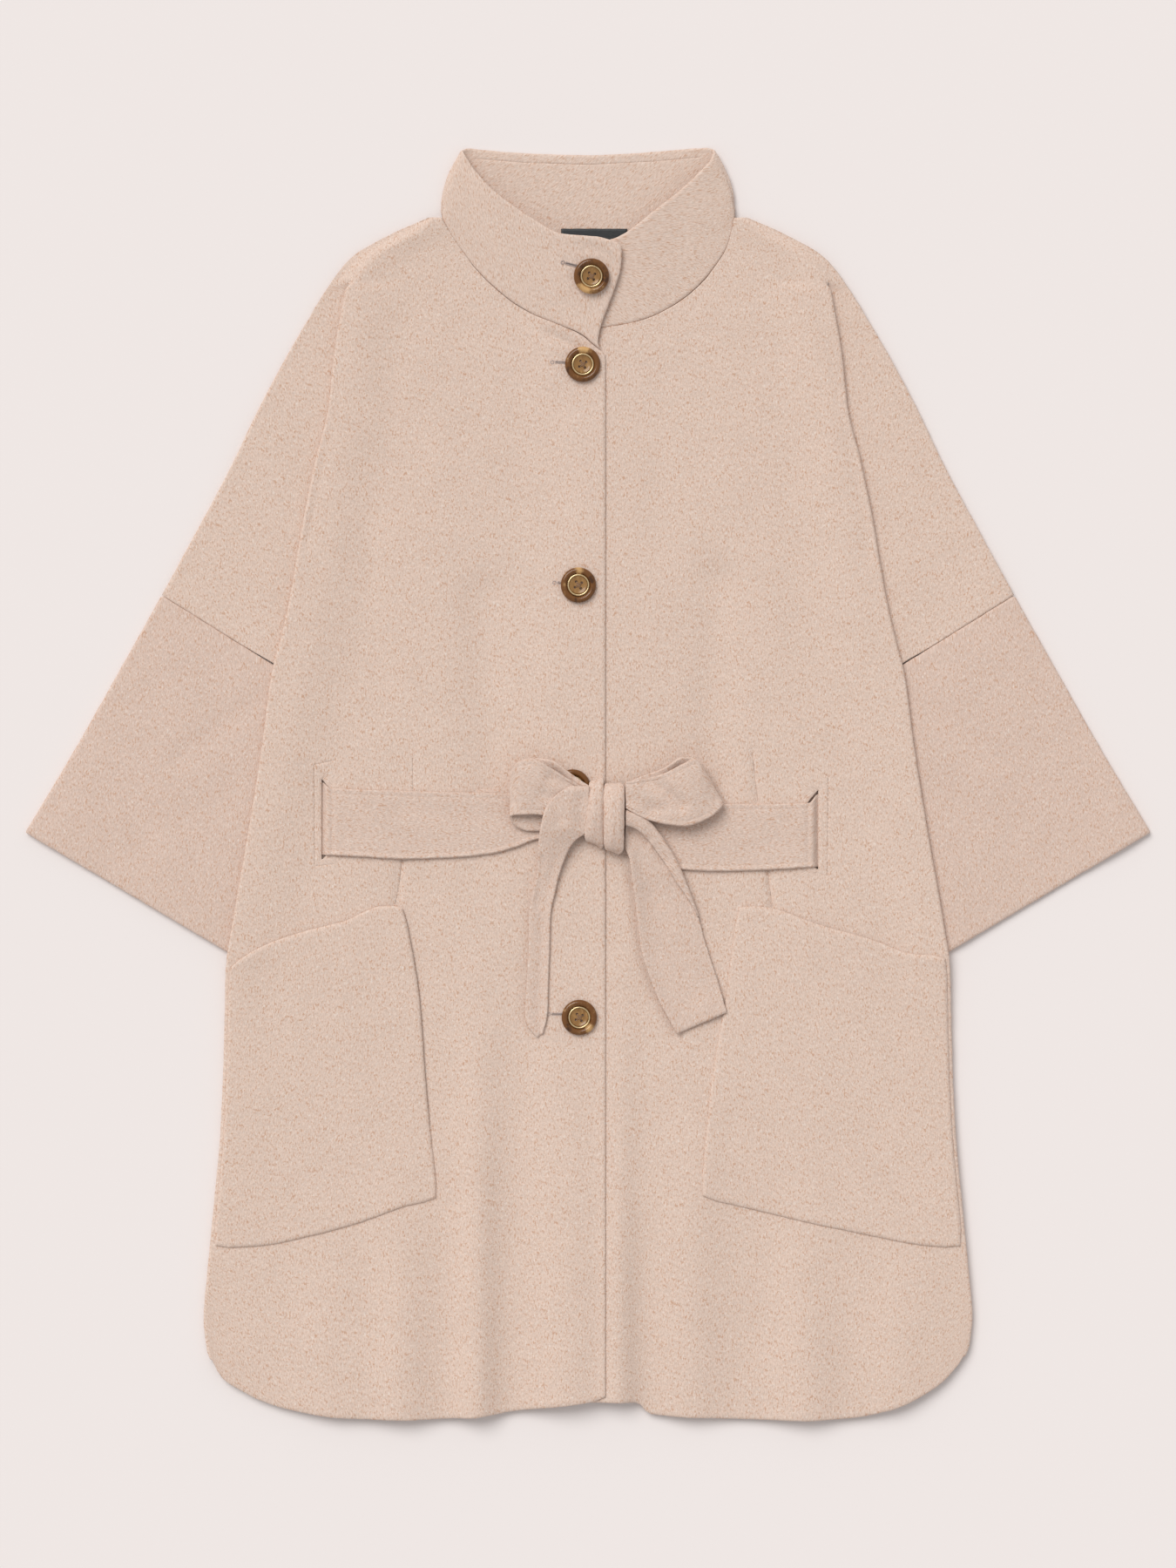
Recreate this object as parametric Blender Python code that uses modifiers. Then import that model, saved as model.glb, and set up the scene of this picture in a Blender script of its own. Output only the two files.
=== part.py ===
"""A belted wool coat, buttoned and laid flat on its back with its front upwards.

All lengths in the tables are millimetres.  +X is the viewer's right, +Y runs from hem to
collar, +Z is up from the surface the coat lies on.  The origin is on that surface, under
the middle of the coat.  "Out" is a distance from the centre line towards either side, so
one table serves both halves.  The wearer's right half is the viewer's left one.
"""
from math import atan2, cos, exp, pi, radians, sin

import bmesh
import bpy

MM = 0.001

# ---------------------------------------------------------------- driving sizes
WALL = 2.0               # double-faced cloth
SEAM_GAP = 0.35          # pieces stay this far apart at a seam
BACK_MID = WALL / 2      # middle of the cloth that lies on the surface
ARM_MID = 3.9            # front half of a sleeve, on the back half
TUCK_MID = 6.6           # cloth turned under at the side fold, on the sleeve
BODY_MID = 5.6           # fronts at the middle of the body
LAYER = WALL + 0.4       # one layer laid on another, middle to middle
LAP_LIFT = 2.7           # the overlapping front above the one below it, middle to middle
LAP_EDGE = 14.0          # the overlapping front reaches this far past the centre line
LAP_UNDER = 24.5         # the front below it reaches this far the other way
LAP_SINK = 36.0          # width over which the overlapping front sinks again
SIDE_SINK = 45.0         # width over which the cloth sinks from the side fold
SIDE_INSET = 4.0         # the side is fully lifted this far inside the cloth turned under
CURL = (TUCK_MID - ARM_MID) / 2
LAP_WIDTH = LAP_EDGE + LAP_UNDER
NECK_START = 1 - LAP_EDGE        # an inner edge further out than this runs along the neck
RAMP = 20.0              # width over which the top layer bends down at the shoulder, at most

SHOULDER_Y = 397.0       # the side fold starts here
UNDERARM_Y = 86.0
CUFF_Y = -141.0
CUFF_SHORT = 5.0         # the cuff's hidden inner end stops this far above it
CUFF_OUTER_Y = -40.0     # the cuff at the outer edge of the arm
SEAM_TOP_Y = 152.0       # sleeve seam, at the outer edge of the arm
SLEEVE_GAP = 1.3 * SEAM_GAP      # the sleeve starts this far below that seam
HEM_START_Y = -380.0     # rows bend towards the hem below this
HEM_CORNER_Y = -455.0    # outer end of the hem's round corner
HEM_FULL_Y = -500.0      # the folds near the hem are fully grown here
GUSSET = 3.0             # the cloth under the arm stops this far short of the seam
GUSSET_Y = 110.0         # level where that begins, and the height it takes
GUSSET_LENGTH = 12.0
TUCK_END_LENGTH = 18.0   # the turned cloth rises to the arm's level over this length

# ---------------------------------------------------------------- tables
# outer edge of shoulder and arm: (level, out)
OVERARM = ((-40, 453), (-27, 445), (29, 411.6), (85, 380), (141, 348.6), (197, 318),
           (253, 288), (309, 261), (365, 230), (406, 203.5), (423, 189), (440, 160), (457, 122))
# fold where the body lies over the arm: (level, out)
SIDE_FOLD = ((-141, 290.5), (-96, 283), (-30, 271.5), (33, 261.5), (90, 254), (112, 248),
             (155, 238.5), (211, 229), (260, 219), (300, 209), (345, 204), (397, 195))
# how far the cloth goes back in under that fold: (level, depth)
TUCK_DEPTH = ((-141, 5), (-96, 6.5), (-30, 10), (33, 14), (86, 18), (155, 15), (211, 13),
              (260, 11), (300, 9), (345, 7), (397, 5))
# side edge below the cuff: (level, out)
SIDE_EDGE = ((-455, 303.5), (-447, 306.5), (-425, 309), (-391, 306), (-335, 300.5),
             (-279, 295.5), (-223, 293), (-141, 291))
# lift of the body cloth along its side: (level, lift)
SIDE_LIFT = ((-455, 0.2), (-200, 0.4), (-150, 2.6), (-140, 3.8), (397, 3.8), (425, 2.6), (457, 1.4))
# inner edge of each front, neck curve included: (level, out)
INNER_RIGHT = ((-500, -14), (344, -14), (348, -10), (354, -3), (361, 5.6), (368, 22), (378, 46),
               (392, 67), (411, 87.5), (433, 105), (455, 119))
INNER_LEFT = ((-500, -24.5), (361, -24.5), (366, 12), (369, 31), (377, 55), (393, 81),
              (411, 98.7), (433, 112.7), (455, 118.5))
# hem of each front: (out, level)
HEM_RIGHT = ((-14, -491), (-5, -495), (54, -503), (101, -509), (150, -510.5), (200, -509),
             (228, -505), (256, -498), (283, -485), (293, -478), (300, -466), (303.5, -455))
HEM_LEFT = ((-25, -496), (39, -496.5), (50, -506), (92, -509), (173, -511), (208, -509.6),
            (242, -503), (277, -486), (291, -474), (300, -462), (303.5, -455))
# back: its neck seam and shoulder point (out, level), then the levels its outline is taken at
BACK_NECK = ((0, 437), (30, 438.6), (60, 444), (90, 453))
BACK_NECK_DROP = SEAM_GAP + 0.6
BACK_SHOULDER = (118, 455.5)
BACK_ARM_LEVELS = (448, 440, 430, 420, 406, 365, 309, 253, 197)
BACK_TUCK_LEVELS = (33, -30, -96, CUFF_Y)
BACK_SIDE_LEVELS = (-160, -223, -279, -335, -391, -425, -447)
BACK_HEM_Y = -497.0
BACK_INSET = 1.0         # it stays this far inside the fronts' outline
BACK_SIDE_INSET = 1.6
BACK_HEM_INSET = 4.0
# soft folds that rise towards the hem: (x, level where it starts, height, half width)
HEM_FOLDS = ((-190, -400, 2.5, 26), (-103, -330, 5.0, 22), (-33, -300, 5.0, 20),
             (66, -290, 6.0, 16), (130, -360, 3.0, 26), (235, -390, 2.5, 26))

# collar, round from its overlapping end by the back to its hidden end:
# (base x, base y, base z, top x, top y, top z)
COLLAR = ((10.6, 350.5, 8.1, 26.3, 433, 16.4), (-5.0, 363.5, 8.1, 10, 438, 16.4),
          (-21.7, 370.5, 7.9, -21.7, 441, 16.2), (-46, 381, 6.8, -42.7, 452, 15.4),
          (-67, 395, 6.2, -61.6, 464.5, 14.6), (-87.5, 414, 6.0, -79, 479, 13.2),
          (-103, 434.5, 5.8, -92, 494, 11.4), (-113, 450, 5.2, -99.5, 506, 9.2),
          (-117.6, 458.6, 3.6, -102, 511.5, 5.0), (-113, 462, 1.6, -97, 511.5, 1.9),
          (-104, 460, 1.0, -88, 510.5, 1.0), (-60, 444, 1.0, -50, 507.5, 1.0),
          (0, 437, 1.0, 2, 506, 1.0), (60, 444, 1.0, 52, 508.5, 1.0),
          (104, 460, 1.0, 88, 511.5, 1.0), (113, 462, 1.6, 97, 512, 1.9),
          (117.3, 458.6, 3.6, 102, 511.8, 5.0), (113.5, 450, 5.2, 99.5, 503, 9.0),
          (109.5, 434.5, 5.6, 88, 489.5, 10.8), (96.5, 414, 5.7, 71, 474, 11.8),
          (79.5, 396.5, 5.7, 54, 460.5, 12.4), (54, 380, 5.7, 37, 447, 12.2),
          (30, 372.5, 5.6, 22, 438, 11.2), (4, 368.8, 5.6, 2, 434, 10.4),
          (-20, 366, 5.6, -14, 431, 10.2))
COLLAR_ROWS = 4
COLLAR_BOW = 4.5         # the collar's sides bow out between base and top
COLLAR_HALF = 118.0      # half the collar's width at its base

# patch pockets: edges across from the inner to the outer side
# (share of the way out, top level, bottom level)
POCKET_RIGHT_EDGES = ((0, -97.3, -334), (0.13, -98.4, -338), (0.35, -110.6, -352),
                      (0.55, -117.6, -362), (0.8, -129.5, -371), (1, -146, -373))
POCKET_LEFT_EDGES = ((0, -97.3, -332), (0.15, -99.4, -339), (0.37, -112, -350),
                     (0.64, -125, -362), (0.84, -136.5, -370), (1, -138, -373))
# its inner side: (share of the way down, out)
POCKET_RIGHT_INNER = ((0, 148.4), (0.3, 136), (0.65, 129.5), (1, 120.4))
POCKET_LEFT_INNER = ((0, 120.4), (0.3, 111), (0.65, 98), (1, 90.3))
POCKET_SIDE_INSET = 3.2
POCKET_GAPE = 1.6        # the mouth stands open by this much
POCKET_EASE = 0.3        # the pocket lies this much looser than one plain layer

# belt: (x, top level, bottom level), from the slit to the knot
BELT_RIGHT = ((-204, -3.5, -57.4), (-183, -4.4, -58.5), (-148, -5.5, -60.2), (-115, -6.5, -59.5),
              (-78, -7.3, -56), (-59, -7.8, -51), (-40, -11, -44.5),
              (-26, -18.5, -43), (1.4, -18.5, -41))
BELT_LEFT = ((176, -15.4, -67), (143, -16, -69), (104, -16, -70), (73.5, -14, -68.6),
             (54, -12, -58), (29.9, -9, -46))
BELT_WIDTH = 54.0
BELT_EASE = 0.2                  # the belt lies this much looser than one plain layer
SLIT_WIDTH = 9.0
SLIT_RIGHT = (-212.0, -30.4)     # centre of the slit in the wearer's right front
SLIT_LEFT = (184.0, -40.6)
SLIT_LENGTH = 66.0
SLIT_RAISE = 0.2                 # the cutter's middle above the cloth's, clear of its corners
SLIT_RUN = 7.0                   # the belt climbs out of the slit over this length
SLIT_REACH = 10.0                # its end lies this far past the slit's middle, inside the coat
INSIDE_MID = 3.3                 # belt that crosses the back inside the coat
INSIDE_SHORT = 6.0               # that belt stops this far inside the slits' middles
KNOT_LEVEL = 12.0                # the left strip stays level this far from the front edge
KNOT_RAMP = 30.0                 # and sinks to the cloth over this width

# knot: two wraps side by side (centre x, centre y, half width, half length, lowest, highest)
WRAPS = ((7.0, -22.5, 5.1, 25.5, 9.8, 25.0), (20.9, -27.0, 8.4, 26.5, 9.8, 26.0))
WRAP_SHRINK = 0.84       # a box keeps this share of its size once its faces are rounded
# bow loops, from the knot to the far end:
# (x, top level, bottom level, middle of the lower layer, middle of the upper layer,
#  share of that height left at the lower mouth)
LOOP_RIGHT = ((1.4, -2.0, -27, 15.4, 18.4, 0.9), (-12, 6, -31, 15.6, 19.8, 0.7),
              (-26, 15, -35, 15.4, 21.4, 0.6), (-42, 20.3, -36, 13.8, 22.4, 0.8),
              (-55, 20.6, -31, 13.2, 21.6, 1.0))
LOOP_RIGHT_END = 62.0
LOOP_LEFT = ((29.9, 1.0, -20, 13.6, 17.4, 0.9), (42, 4.0, -27, 12.9, 19.6, 0.7),
             (60, 9.0, -32, 12.6, 22.4, 0.7), (80, 18, -34, 12.0, 22.4, 0.8),
             (98, 8, -28, 11.2, 20.2, 1.0))
LOOP_LEFT_END = 107.5
LOOP_TURN_STEPS = 5
LOOP_TURN_NARROW = 2.0   # a loop is this much narrower at each edge of its far end
# bow tails: (left x, left y, right x, right y, left z, right z)
TAIL_RIGHT = ((-23, -7, 1.2, -7, 24.0, 21.6), (-34, -19, 1.2, -21, 23.8, 21.2),
              (-38, -37, 1.2, -37, 23.2, 20.4), (-40, -50, -13, -50, 15.0, 14.6),
              (-40.6, -68.6, -21.7, -68.6, 11.8, 12.4), (-46.5, -95, -28.5, -95, 9.2, 10.7),
              (-47.6, -132, -30.8, -132, 9.1, 10.7), (-50.4, -186, -32.2, -181, 8.9, 10.6),
              (-40.4, -203, -37.4, -202, 9.9, 10.1))
TAIL_LEFT = ((29.9, -52, 29.9, -29.5, 14.2, 14.2), (34, -58, 54, -39.5, 13.3, 13.3),
             (35.2, -70, 69, -62, 12.3, 12.7), (36.5, -84, 79, -83, 10.2, 10.4),
             (39.4, -110, 89, -110, 8.2, 8.2), (43, -134, 96, -134, 8.2, 8.2),
             (54, -166.6, 105, -162, 8.2, 8.9), (71.4, -200.6, 111.3, -183.4, 8.2, 11.0))

# buttons: (x, y)
BUTTONS = ((2.8, 406.7), (-4.2, 336.7), (-7.7, 159.6), (-12.2, -2.4), (-7.0, -187.3))
BUTTON_LIFT = 0.5
COLLAR_BUTTON_LIFT = 1.2         # the tilted top button stands this much higher
BUTTON_HOLE_SIZE = 2.0
BUTTON_HOLE_OUT = 3.7
BUTTON_DRILL = 12.0
BUTTON_TURN = radians(30)
# half profile of a button, down its outer side: (radius, height)
BUTTON_PROFILE = ((0, 3.0), (6.6, 3.0), (7.0, 2.2), (9.1, 2.2), (9.6, 3.3), (11.2, 4.3),
                  (13.1, 4.0), (14.2, 2.4), (13.0, 0.5), (10.0, 0), (0, 0))
# half profile of the metal ring set in its groove
RING_PROFILE = ((7.3, 3.3), (7.7, 3.9), (8.4, 3.9), (8.8, 3.3), (8.8, 2.5), (7.3, 2.5))
ROUND_STEPS = 16

LABEL = (-21.7, 31.5, 428.6, 446.6)     # left, right, bottom, top
LABEL_THICKNESS = 0.8
LABEL_GAP = 0.3          # between the label and the back of the collar

TOP_COLUMNS = 13
ARM_COLUMNS = 4
FRONT_LEVELS = (455, 434, 411, 403, 397, 382, 369, 361, 354, 347, 300, 250, 200, 152, 120, 97, 86,
                68, 20, -60, -138, -150, -200, -290, -320, -350, -380)
HEM_ROWS = (0.35, 0.7, 1.0)
FOLD_COLUMNS = 10
SLEEVE_SECTIONS = 6
SLEEVE_COLUMNS = 7
POCKET_ROWS = 6
POCKET_COLUMNS = 7


# ---------------------------------------------------------------- small tools
def smoothstep(value):
    """0 below 0, 1 above 1, and a soft S between."""
    value = min(max(value, 0.0), 1.0)
    return value * value * (3 - 2 * value)


def lerp(start, end, share):
    return start + (end - start) * share


def curve(table, at, column=1):
    """Read a table through a smooth curve that never overshoots its points."""
    if at <= table[0][0]:
        return table[0][column]
    if at >= table[-1][0]:
        return table[-1][column]
    index = next(i for i in range(len(table) - 1) if at <= table[i + 1][0])

    def slope(i):
        return (table[i + 1][column] - table[i][column]) / (table[i + 1][0] - table[i][0])

    def tangent(i):
        if i in (0, len(table) - 1):
            return slope(min(i, len(table) - 2))
        before, after = slope(i - 1), slope(i)
        return 0.0 if before * after <= 0 else 2 * before * after / (before + after)

    width = table[index + 1][0] - table[index][0]
    t = (at - table[index][0]) / width
    start, end = table[index][column], table[index + 1][column]
    return ((2 * t ** 3 - 3 * t ** 2 + 1) * start + (t ** 3 - 2 * t ** 2 + t) * width * tangent(index)
            + (3 * t ** 2 - 2 * t ** 3) * end + (t ** 3 - t ** 2) * width * tangent(index + 1))


def material(name, colour, roughness, metallic=0.0):
    made = bpy.data.materials.new(name)
    made.use_nodes = True
    shader = made.node_tree.nodes["Principled BSDF"]
    shader.inputs["Base Color"].default_value = (*colour, 1)
    shader.inputs["Roughness"].default_value = roughness
    shader.inputs["Metallic"].default_value = metallic
    return made


def add_object(name, mesh, finish, collection):
    piece = bpy.data.objects.new(name, mesh)
    piece.data.materials.append(finish)
    collection.objects.link(piece)
    return piece


def grid_mesh(name, rows, closed=False):
    """A sheet through rows of points of one length each, its doubled points merged."""
    mesh = bpy.data.meshes.new(name)
    made = bmesh.new()
    count = len(rows[0])
    points = [[made.verts.new([part * MM for part in point]) for point in row] for row in rows]
    for upper, lower in zip(points, points[1:]):
        for i in range(count if closed else count - 1):
            j = (i + 1) % count
            made.faces.new((upper[i], upper[j], lower[j], lower[i]))
    bmesh.ops.remove_doubles(made, verts=made.verts, dist=0.02 * MM)
    bmesh.ops.recalc_face_normals(made, faces=made.faces)
    made.to_mesh(mesh)
    made.free()
    return mesh


def cloth(name, rows, finish, collection, closed=False, thickness=WALL):
    """A cloth piece: the sheet through its rows, given its wall on both sides."""
    piece = add_object(name, grid_mesh(name, rows, closed), finish, collection)
    wall = piece.modifiers.new("Wall", "SOLIDIFY")
    wall.thickness = thickness * MM
    wall.offset = 0
    wall.use_even_offset = True
    wall.use_quality_normals = True
    return piece


def turned(name, profile, place, tilt, finish, collection):
    """A round piece: its half profile turned about its own middle, then tilted and placed."""
    mesh = bpy.data.meshes.new(name)
    made = bmesh.new()
    points = [made.verts.new((radius * MM, 0, height * MM)) for radius, height in profile]
    for start, end in zip(points, points[1:]):
        made.edges.new((start, end))
    if profile[0][0] > 0:
        made.edges.new((points[-1], points[0]))
    made.to_mesh(mesh)
    made.free()
    piece = add_object(name, mesh, finish, collection)
    screw = piece.modifiers.new("Turn", "SCREW")
    screw.steps = ROUND_STEPS
    screw.render_steps = ROUND_STEPS
    screw.use_merge_vertices = True
    screw.merge_threshold = 0.01 * MM
    screw.use_normal_calculate = True
    piece.location = [part * MM for part in place]
    piece.rotation_euler = (tilt, 0, 0)
    return piece


def cutter_box(name, centre, size, collection):
    bpy.ops.mesh.primitive_cube_add(size=1, location=[part * MM for part in centre])
    box = bpy.context.active_object
    box.name = name
    box.scale = [part * MM for part in size]
    keep_as_cutter(box, collection)
    return box


def keep_as_cutter(tool, collection):
    for owner in list(tool.users_collection):
        owner.objects.unlink(tool)
    collection.objects.link(tool)
    tool.hide_render = True
    tool.display_type = "WIRE"


def cut(piece, tool):
    made = piece.modifiers.new("Cut " + tool.name, "BOOLEAN")
    made.operation = "DIFFERENCE"
    made.object = tool


# ---------------------------------------------------------------- heights of the laid cloth
def hem_folds(x, y):
    total = 0.0
    for centre, start, height, half_width in HEM_FOLDS:
        grown = smoothstep((start - y) / (start - HEM_FULL_Y))
        total += height * grown * exp(-((x - centre) / half_width) ** 2)
    return total


def outer_line(y):
    """Outer edge of the body: the side fold, the side edge, or the arm above the fold."""
    if y < CUFF_Y:
        return curve(SIDE_EDGE, y)
    if y <= SHOULDER_Y:
        return curve(SIDE_FOLD, y)
    return curve(OVERARM, y)


def body_height(x, y):
    """Middle of the body cloth, one layer of front thick."""
    full_lift = outer_line(y) - curve(TUCK_DEPTH, y) - SIDE_INSET
    near_side = smoothstep((abs(x) - full_lift) / SIDE_SINK + 1)
    return BODY_MID + curve(SIDE_LIFT, y) * near_side + hem_folds(x, y)


def lap(x):
    """Extra height of the overlapping front over the one below it."""
    return LAP_LIFT * (1 - smoothstep((-x - LAP_UNDER) / LAP_SINK))


def top_height(x, y):
    """Middle of the topmost front at a place."""
    return body_height(x, y) + (lap(x) if x <= LAP_EDGE else 0.0)


# ---------------------------------------------------------------- fronts
def seam_out(y):
    """The sleeve seam, straight from the outer edge of the arm to the underarm."""
    share = (y - UNDERARM_Y) / (SEAM_TOP_Y - UNDERARM_Y)
    return lerp(tuck_line(UNDERARM_Y), curve(OVERARM, SEAM_TOP_Y), share)


def seam_level(out):
    """The level of the sleeve seam at a distance out."""
    start, end = tuck_line(UNDERARM_Y), curve(OVERARM, SEAM_TOP_Y)
    return lerp(UNDERARM_Y, SEAM_TOP_Y, (out - start) / (end - start))


def tuck_line(y):
    """Inner end of the cloth turned under at the side fold."""
    return curve(SIDE_FOLD, y) - curve(TUCK_DEPTH, y)


def arc(centre_out, centre_z, radius, degrees):
    return [(centre_out + radius * cos(radians(a)), centre_z + radius * sin(radians(a)))
            for a in degrees]


def side_profile(y, top_z, edge):
    """The section from the top layer's edge outwards, as (out, z) points."""
    if y < CUFF_Y:
        mid = edge - WALL / 2
        points = arc(mid - CURL, top_z - CURL, CURL, (60, 30, 0))
        return points + [(mid, LAYER)] * (FOLD_COLUMNS - 3 + ARM_COLUMNS)
    radius = (top_z - TUCK_MID) / 2
    fold_centre = edge - WALL / 2 - radius
    points = arc(fold_centre, TUCK_MID + radius, radius, (60, 20, -20, -60, -90))
    tuck = tuck_line(y)
    points.append((tuck + CURL, TUCK_MID))
    if y <= UNDERARM_Y:
        end_z = lerp(LAYER, ARM_MID, smoothstep((y - UNDERARM_Y) / TUCK_END_LENGTH + 1))
        points += arc(tuck + CURL, TUCK_MID - CURL, CURL, (135, 180))
        return points + [(tuck, end_z)] * (2 + ARM_COLUMNS)
    points += arc(tuck + CURL, ARM_MID + CURL, CURL, (135, 180, 225, 270))
    arm_end = curve(OVERARM, y)
    if y < SEAM_TOP_Y:
        arm_end = seam_out(y) - GUSSET * smoothstep((GUSSET_Y - y) / GUSSET_LENGTH)
    return points + [(lerp(tuck + CURL, arm_end, (i + 1) / ARM_COLUMNS), ARM_MID)
                     for i in range(ARM_COLUMNS)]


def shoulder_profile(y, start_out, start_z):
    """Above the side fold the cloth runs smoothly down to the outer edge of the shoulder."""
    columns = FOLD_COLUMNS + ARM_COLUMNS
    end = curve(OVERARM, y)
    return [(lerp(start_out, end, (i + 1) / columns),
             lerp(start_z, ARM_MID, smoothstep((i + 1) / columns))) for i in range(columns)]


def top_column(index, inner, top_end):
    """Where a column of the top layer lies; both fronts share three in the overlap."""
    if inner > NECK_START:
        return lerp(inner, top_end, index / (TOP_COLUMNS - 1))
    if index <= 2:
        return inner + LAP_WIDTH * index / 2
    return lerp(inner + LAP_WIDTH, top_end, (index - 2) / (TOP_COLUMNS - 3))


def front_row(level, side, inner_table, lapped):
    """One row across a front, from its inner edge to its outermost point."""
    inner = curve(inner_table, level)
    edge = outer_line(level)
    above_fold = level > SHOULDER_Y
    ramp = min(RAMP, (edge - inner) / 2)
    top_z = body_height(edge, level)
    radius = CURL if level < CUFF_Y else (top_z - TUCK_MID) / 2
    top_end = edge - ramp if above_fold else edge - WALL / 2 - radius
    row = []
    for i in range(TOP_COLUMNS):
        out = top_column(i, inner, top_end)
        x = side * out
        z = body_height(x, level) + (lap(x) if lapped else 0.0)
        if i == TOP_COLUMNS - 1 and not above_fold:
            z = top_z
        row.append((x, level, z))
    if above_fold:
        rest = shoulder_profile(level, top_end, row[-1][2])
    else:
        rest = side_profile(level, top_z, edge)
    return row + [(side * out, level, z) for out, z in rest]


def hem_row(share, side, inner_table, hem_table, lapped):
    """A row that bends from the last straight level towards the hem."""
    side_level = lerp(HEM_START_Y, HEM_CORNER_Y, share)
    base = front_row(side_level, side, inner_table, lapped)
    hem_ends = front_row(HEM_CORNER_Y, side, inner_table, lapped)
    top_end = side * hem_ends[TOP_COLUMNS - 1][0]
    row = []
    for (x, _, z), (hem_x, _, _) in zip(base, hem_ends):
        y = lerp(HEM_START_Y, curve(hem_table, min(side * hem_x, top_end)), share)
        if z > LAYER + 0.1:
            lapping = lap(x) if lapped else 0.0
            curled = body_height(x, side_level) + lapping - z
            z = body_height(x, y) + lapping - curled
        row.append((x, y, z))
    return row


def front_rows(side, inner_table, hem_table, lapped):
    rows = [front_row(level, side, inner_table, lapped) for level in FRONT_LEVELS]
    rows += [hem_row(share, side, inner_table, hem_table, lapped) for share in HEM_ROWS]
    return rows


def make_fronts(finish, collection, cutters):
    right = cloth("front_right", front_rows(-1, INNER_RIGHT, HEM_RIGHT, True), finish, collection)
    left = cloth("front_left", front_rows(1, INNER_LEFT, HEM_LEFT, False), finish, collection)
    for piece, name, (x, y) in ((right, "slit_right", SLIT_RIGHT), (left, "slit_left", SLIT_LEFT)):
        size = (SLIT_WIDTH, SLIT_LENGTH, 2 * BODY_MID)
        cut(piece, cutter_box(name, (x, y, BODY_MID + SLIT_RAISE), size, cutters))


# ---------------------------------------------------------------- back
def make_back(finish, collection):
    """One flat piece: neck, shoulders, arms to the sleeve seams, sides and hem."""
    neck = [(out, y - BACK_NECK_DROP) for out, y in BACK_NECK]
    arm = [BACK_SHOULDER]
    arm += [(curve(OVERARM, y) - BACK_INSET, y) for y in BACK_ARM_LEVELS]
    seam = [(out, seam_level(out) + SEAM_GAP)
            for out in (curve(OVERARM, SEAM_TOP_Y) - BACK_INSET, tuck_line(UNDERARM_Y) + BACK_INSET)]
    side = [(tuck_line(y) + BACK_INSET, y) for y in BACK_TUCK_LEVELS]
    side += [(curve(SIDE_EDGE, y) - BACK_SIDE_INSET, y) for y in BACK_SIDE_LEVELS]
    half = neck + arm + seam + side

    def hem(table):
        return [(out - BACK_HEM_INSET / 2, y + BACK_HEM_INSET) for out, y in reversed(table) if out > 0]

    right_half = half + hem(HEM_LEFT)
    left_half = [(-out, y) for out, y in half[1:] + hem(HEM_RIGHT)]
    outline = right_half + [(0, BACK_HEM_Y + BACK_HEM_INSET)] + left_half[::-1]
    mesh = bpy.data.meshes.new("back")
    made = bmesh.new()
    made.faces.new([made.verts.new((x * MM, y * MM, BACK_MID * MM)) for x, y in outline])
    bmesh.ops.recalc_face_normals(made, faces=made.faces)
    made.to_mesh(mesh)
    made.free()
    piece = add_object("back", mesh, finish, collection)
    wall = piece.modifiers.new("Wall", "SOLIDIFY")
    wall.thickness = WALL * MM
    wall.offset = 0


# ---------------------------------------------------------------- sleeves
def sleeve_ring(share):
    """A flattened section of a sleeve, as (out, level, z) points round it."""
    half = (ARM_MID - BACK_MID) / 2
    centre_z = (ARM_MID + BACK_MID) / 2
    outer_y = lerp(SEAM_TOP_Y, CUFF_OUTER_Y, share)
    inner_y = lerp(UNDERARM_Y, CUFF_Y + CUFF_SHORT, share)
    outer = (curve(OVERARM, outer_y) - half - WALL / 2, outer_y)
    inner = (tuck_line(inner_y) + LAYER + half, inner_y)
    if share == 0:
        outer, inner = [(out, seam_level(out) - SLEEVE_GAP) for out, _ in (outer, inner)]
    run = (outer[0] - inner[0], outer[1] - inner[1])
    length = (run[0] ** 2 + run[1] ** 2) ** 0.5
    along = (run[0] / length, run[1] / length)

    def at(distance, z):
        return (inner[0] + along[0] * distance, inner[1] + along[1] * distance, z)

    ring = [at(length * i / SLEEVE_COLUMNS, ARM_MID) for i in range(SLEEVE_COLUMNS + 1)]
    ring += [at(length + half * cos(a), centre_z + half * sin(a)) for a in (pi / 4, 0, -pi / 4)]
    ring += [at(length * (1 - i / SLEEVE_COLUMNS), BACK_MID) for i in range(SLEEVE_COLUMNS + 1)]
    ring += [at(-half * cos(a), centre_z + half * sin(a)) for a in (-pi / 4, 0, pi / 4)]
    return ring


def make_sleeves(finish, collection):
    for name, side in (("sleeve_right", -1), ("sleeve_left", 1)):
        rings = [sleeve_ring(i / SLEEVE_SECTIONS) for i in range(SLEEVE_SECTIONS + 1)]
        rows = [[(side * out, y, z) for out, y, z in ring] for ring in rings]
        cloth(name, rows, finish, collection, closed=True)


# ---------------------------------------------------------------- collar and label
def collar_rows():
    rows = []
    for i in range(COLLAR_ROWS + 1):
        share = i / COLLAR_ROWS
        row = []
        for base_x, base_y, base_z, top_x, top_y, top_z in COLLAR:
            bow = COLLAR_BOW * sin(pi * share) * (base_x / COLLAR_HALF) ** 3
            row.append((lerp(base_x, top_x, share) + bow, lerp(base_y, top_y, share),
                        lerp(base_z, top_z, share)))
        rows.append(row)
    return rows


def collar_height(x, y):
    """Middle of the collar's overlapping end at a place near the first button."""
    base, top = COLLAR[1], COLLAR[2]
    share = (y - base[1]) / (base[4] - base[1])
    return lerp(base[2], top[5], share)


def make_collar(finish, collection):
    cloth("collar", collar_rows(), finish, collection)


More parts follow.
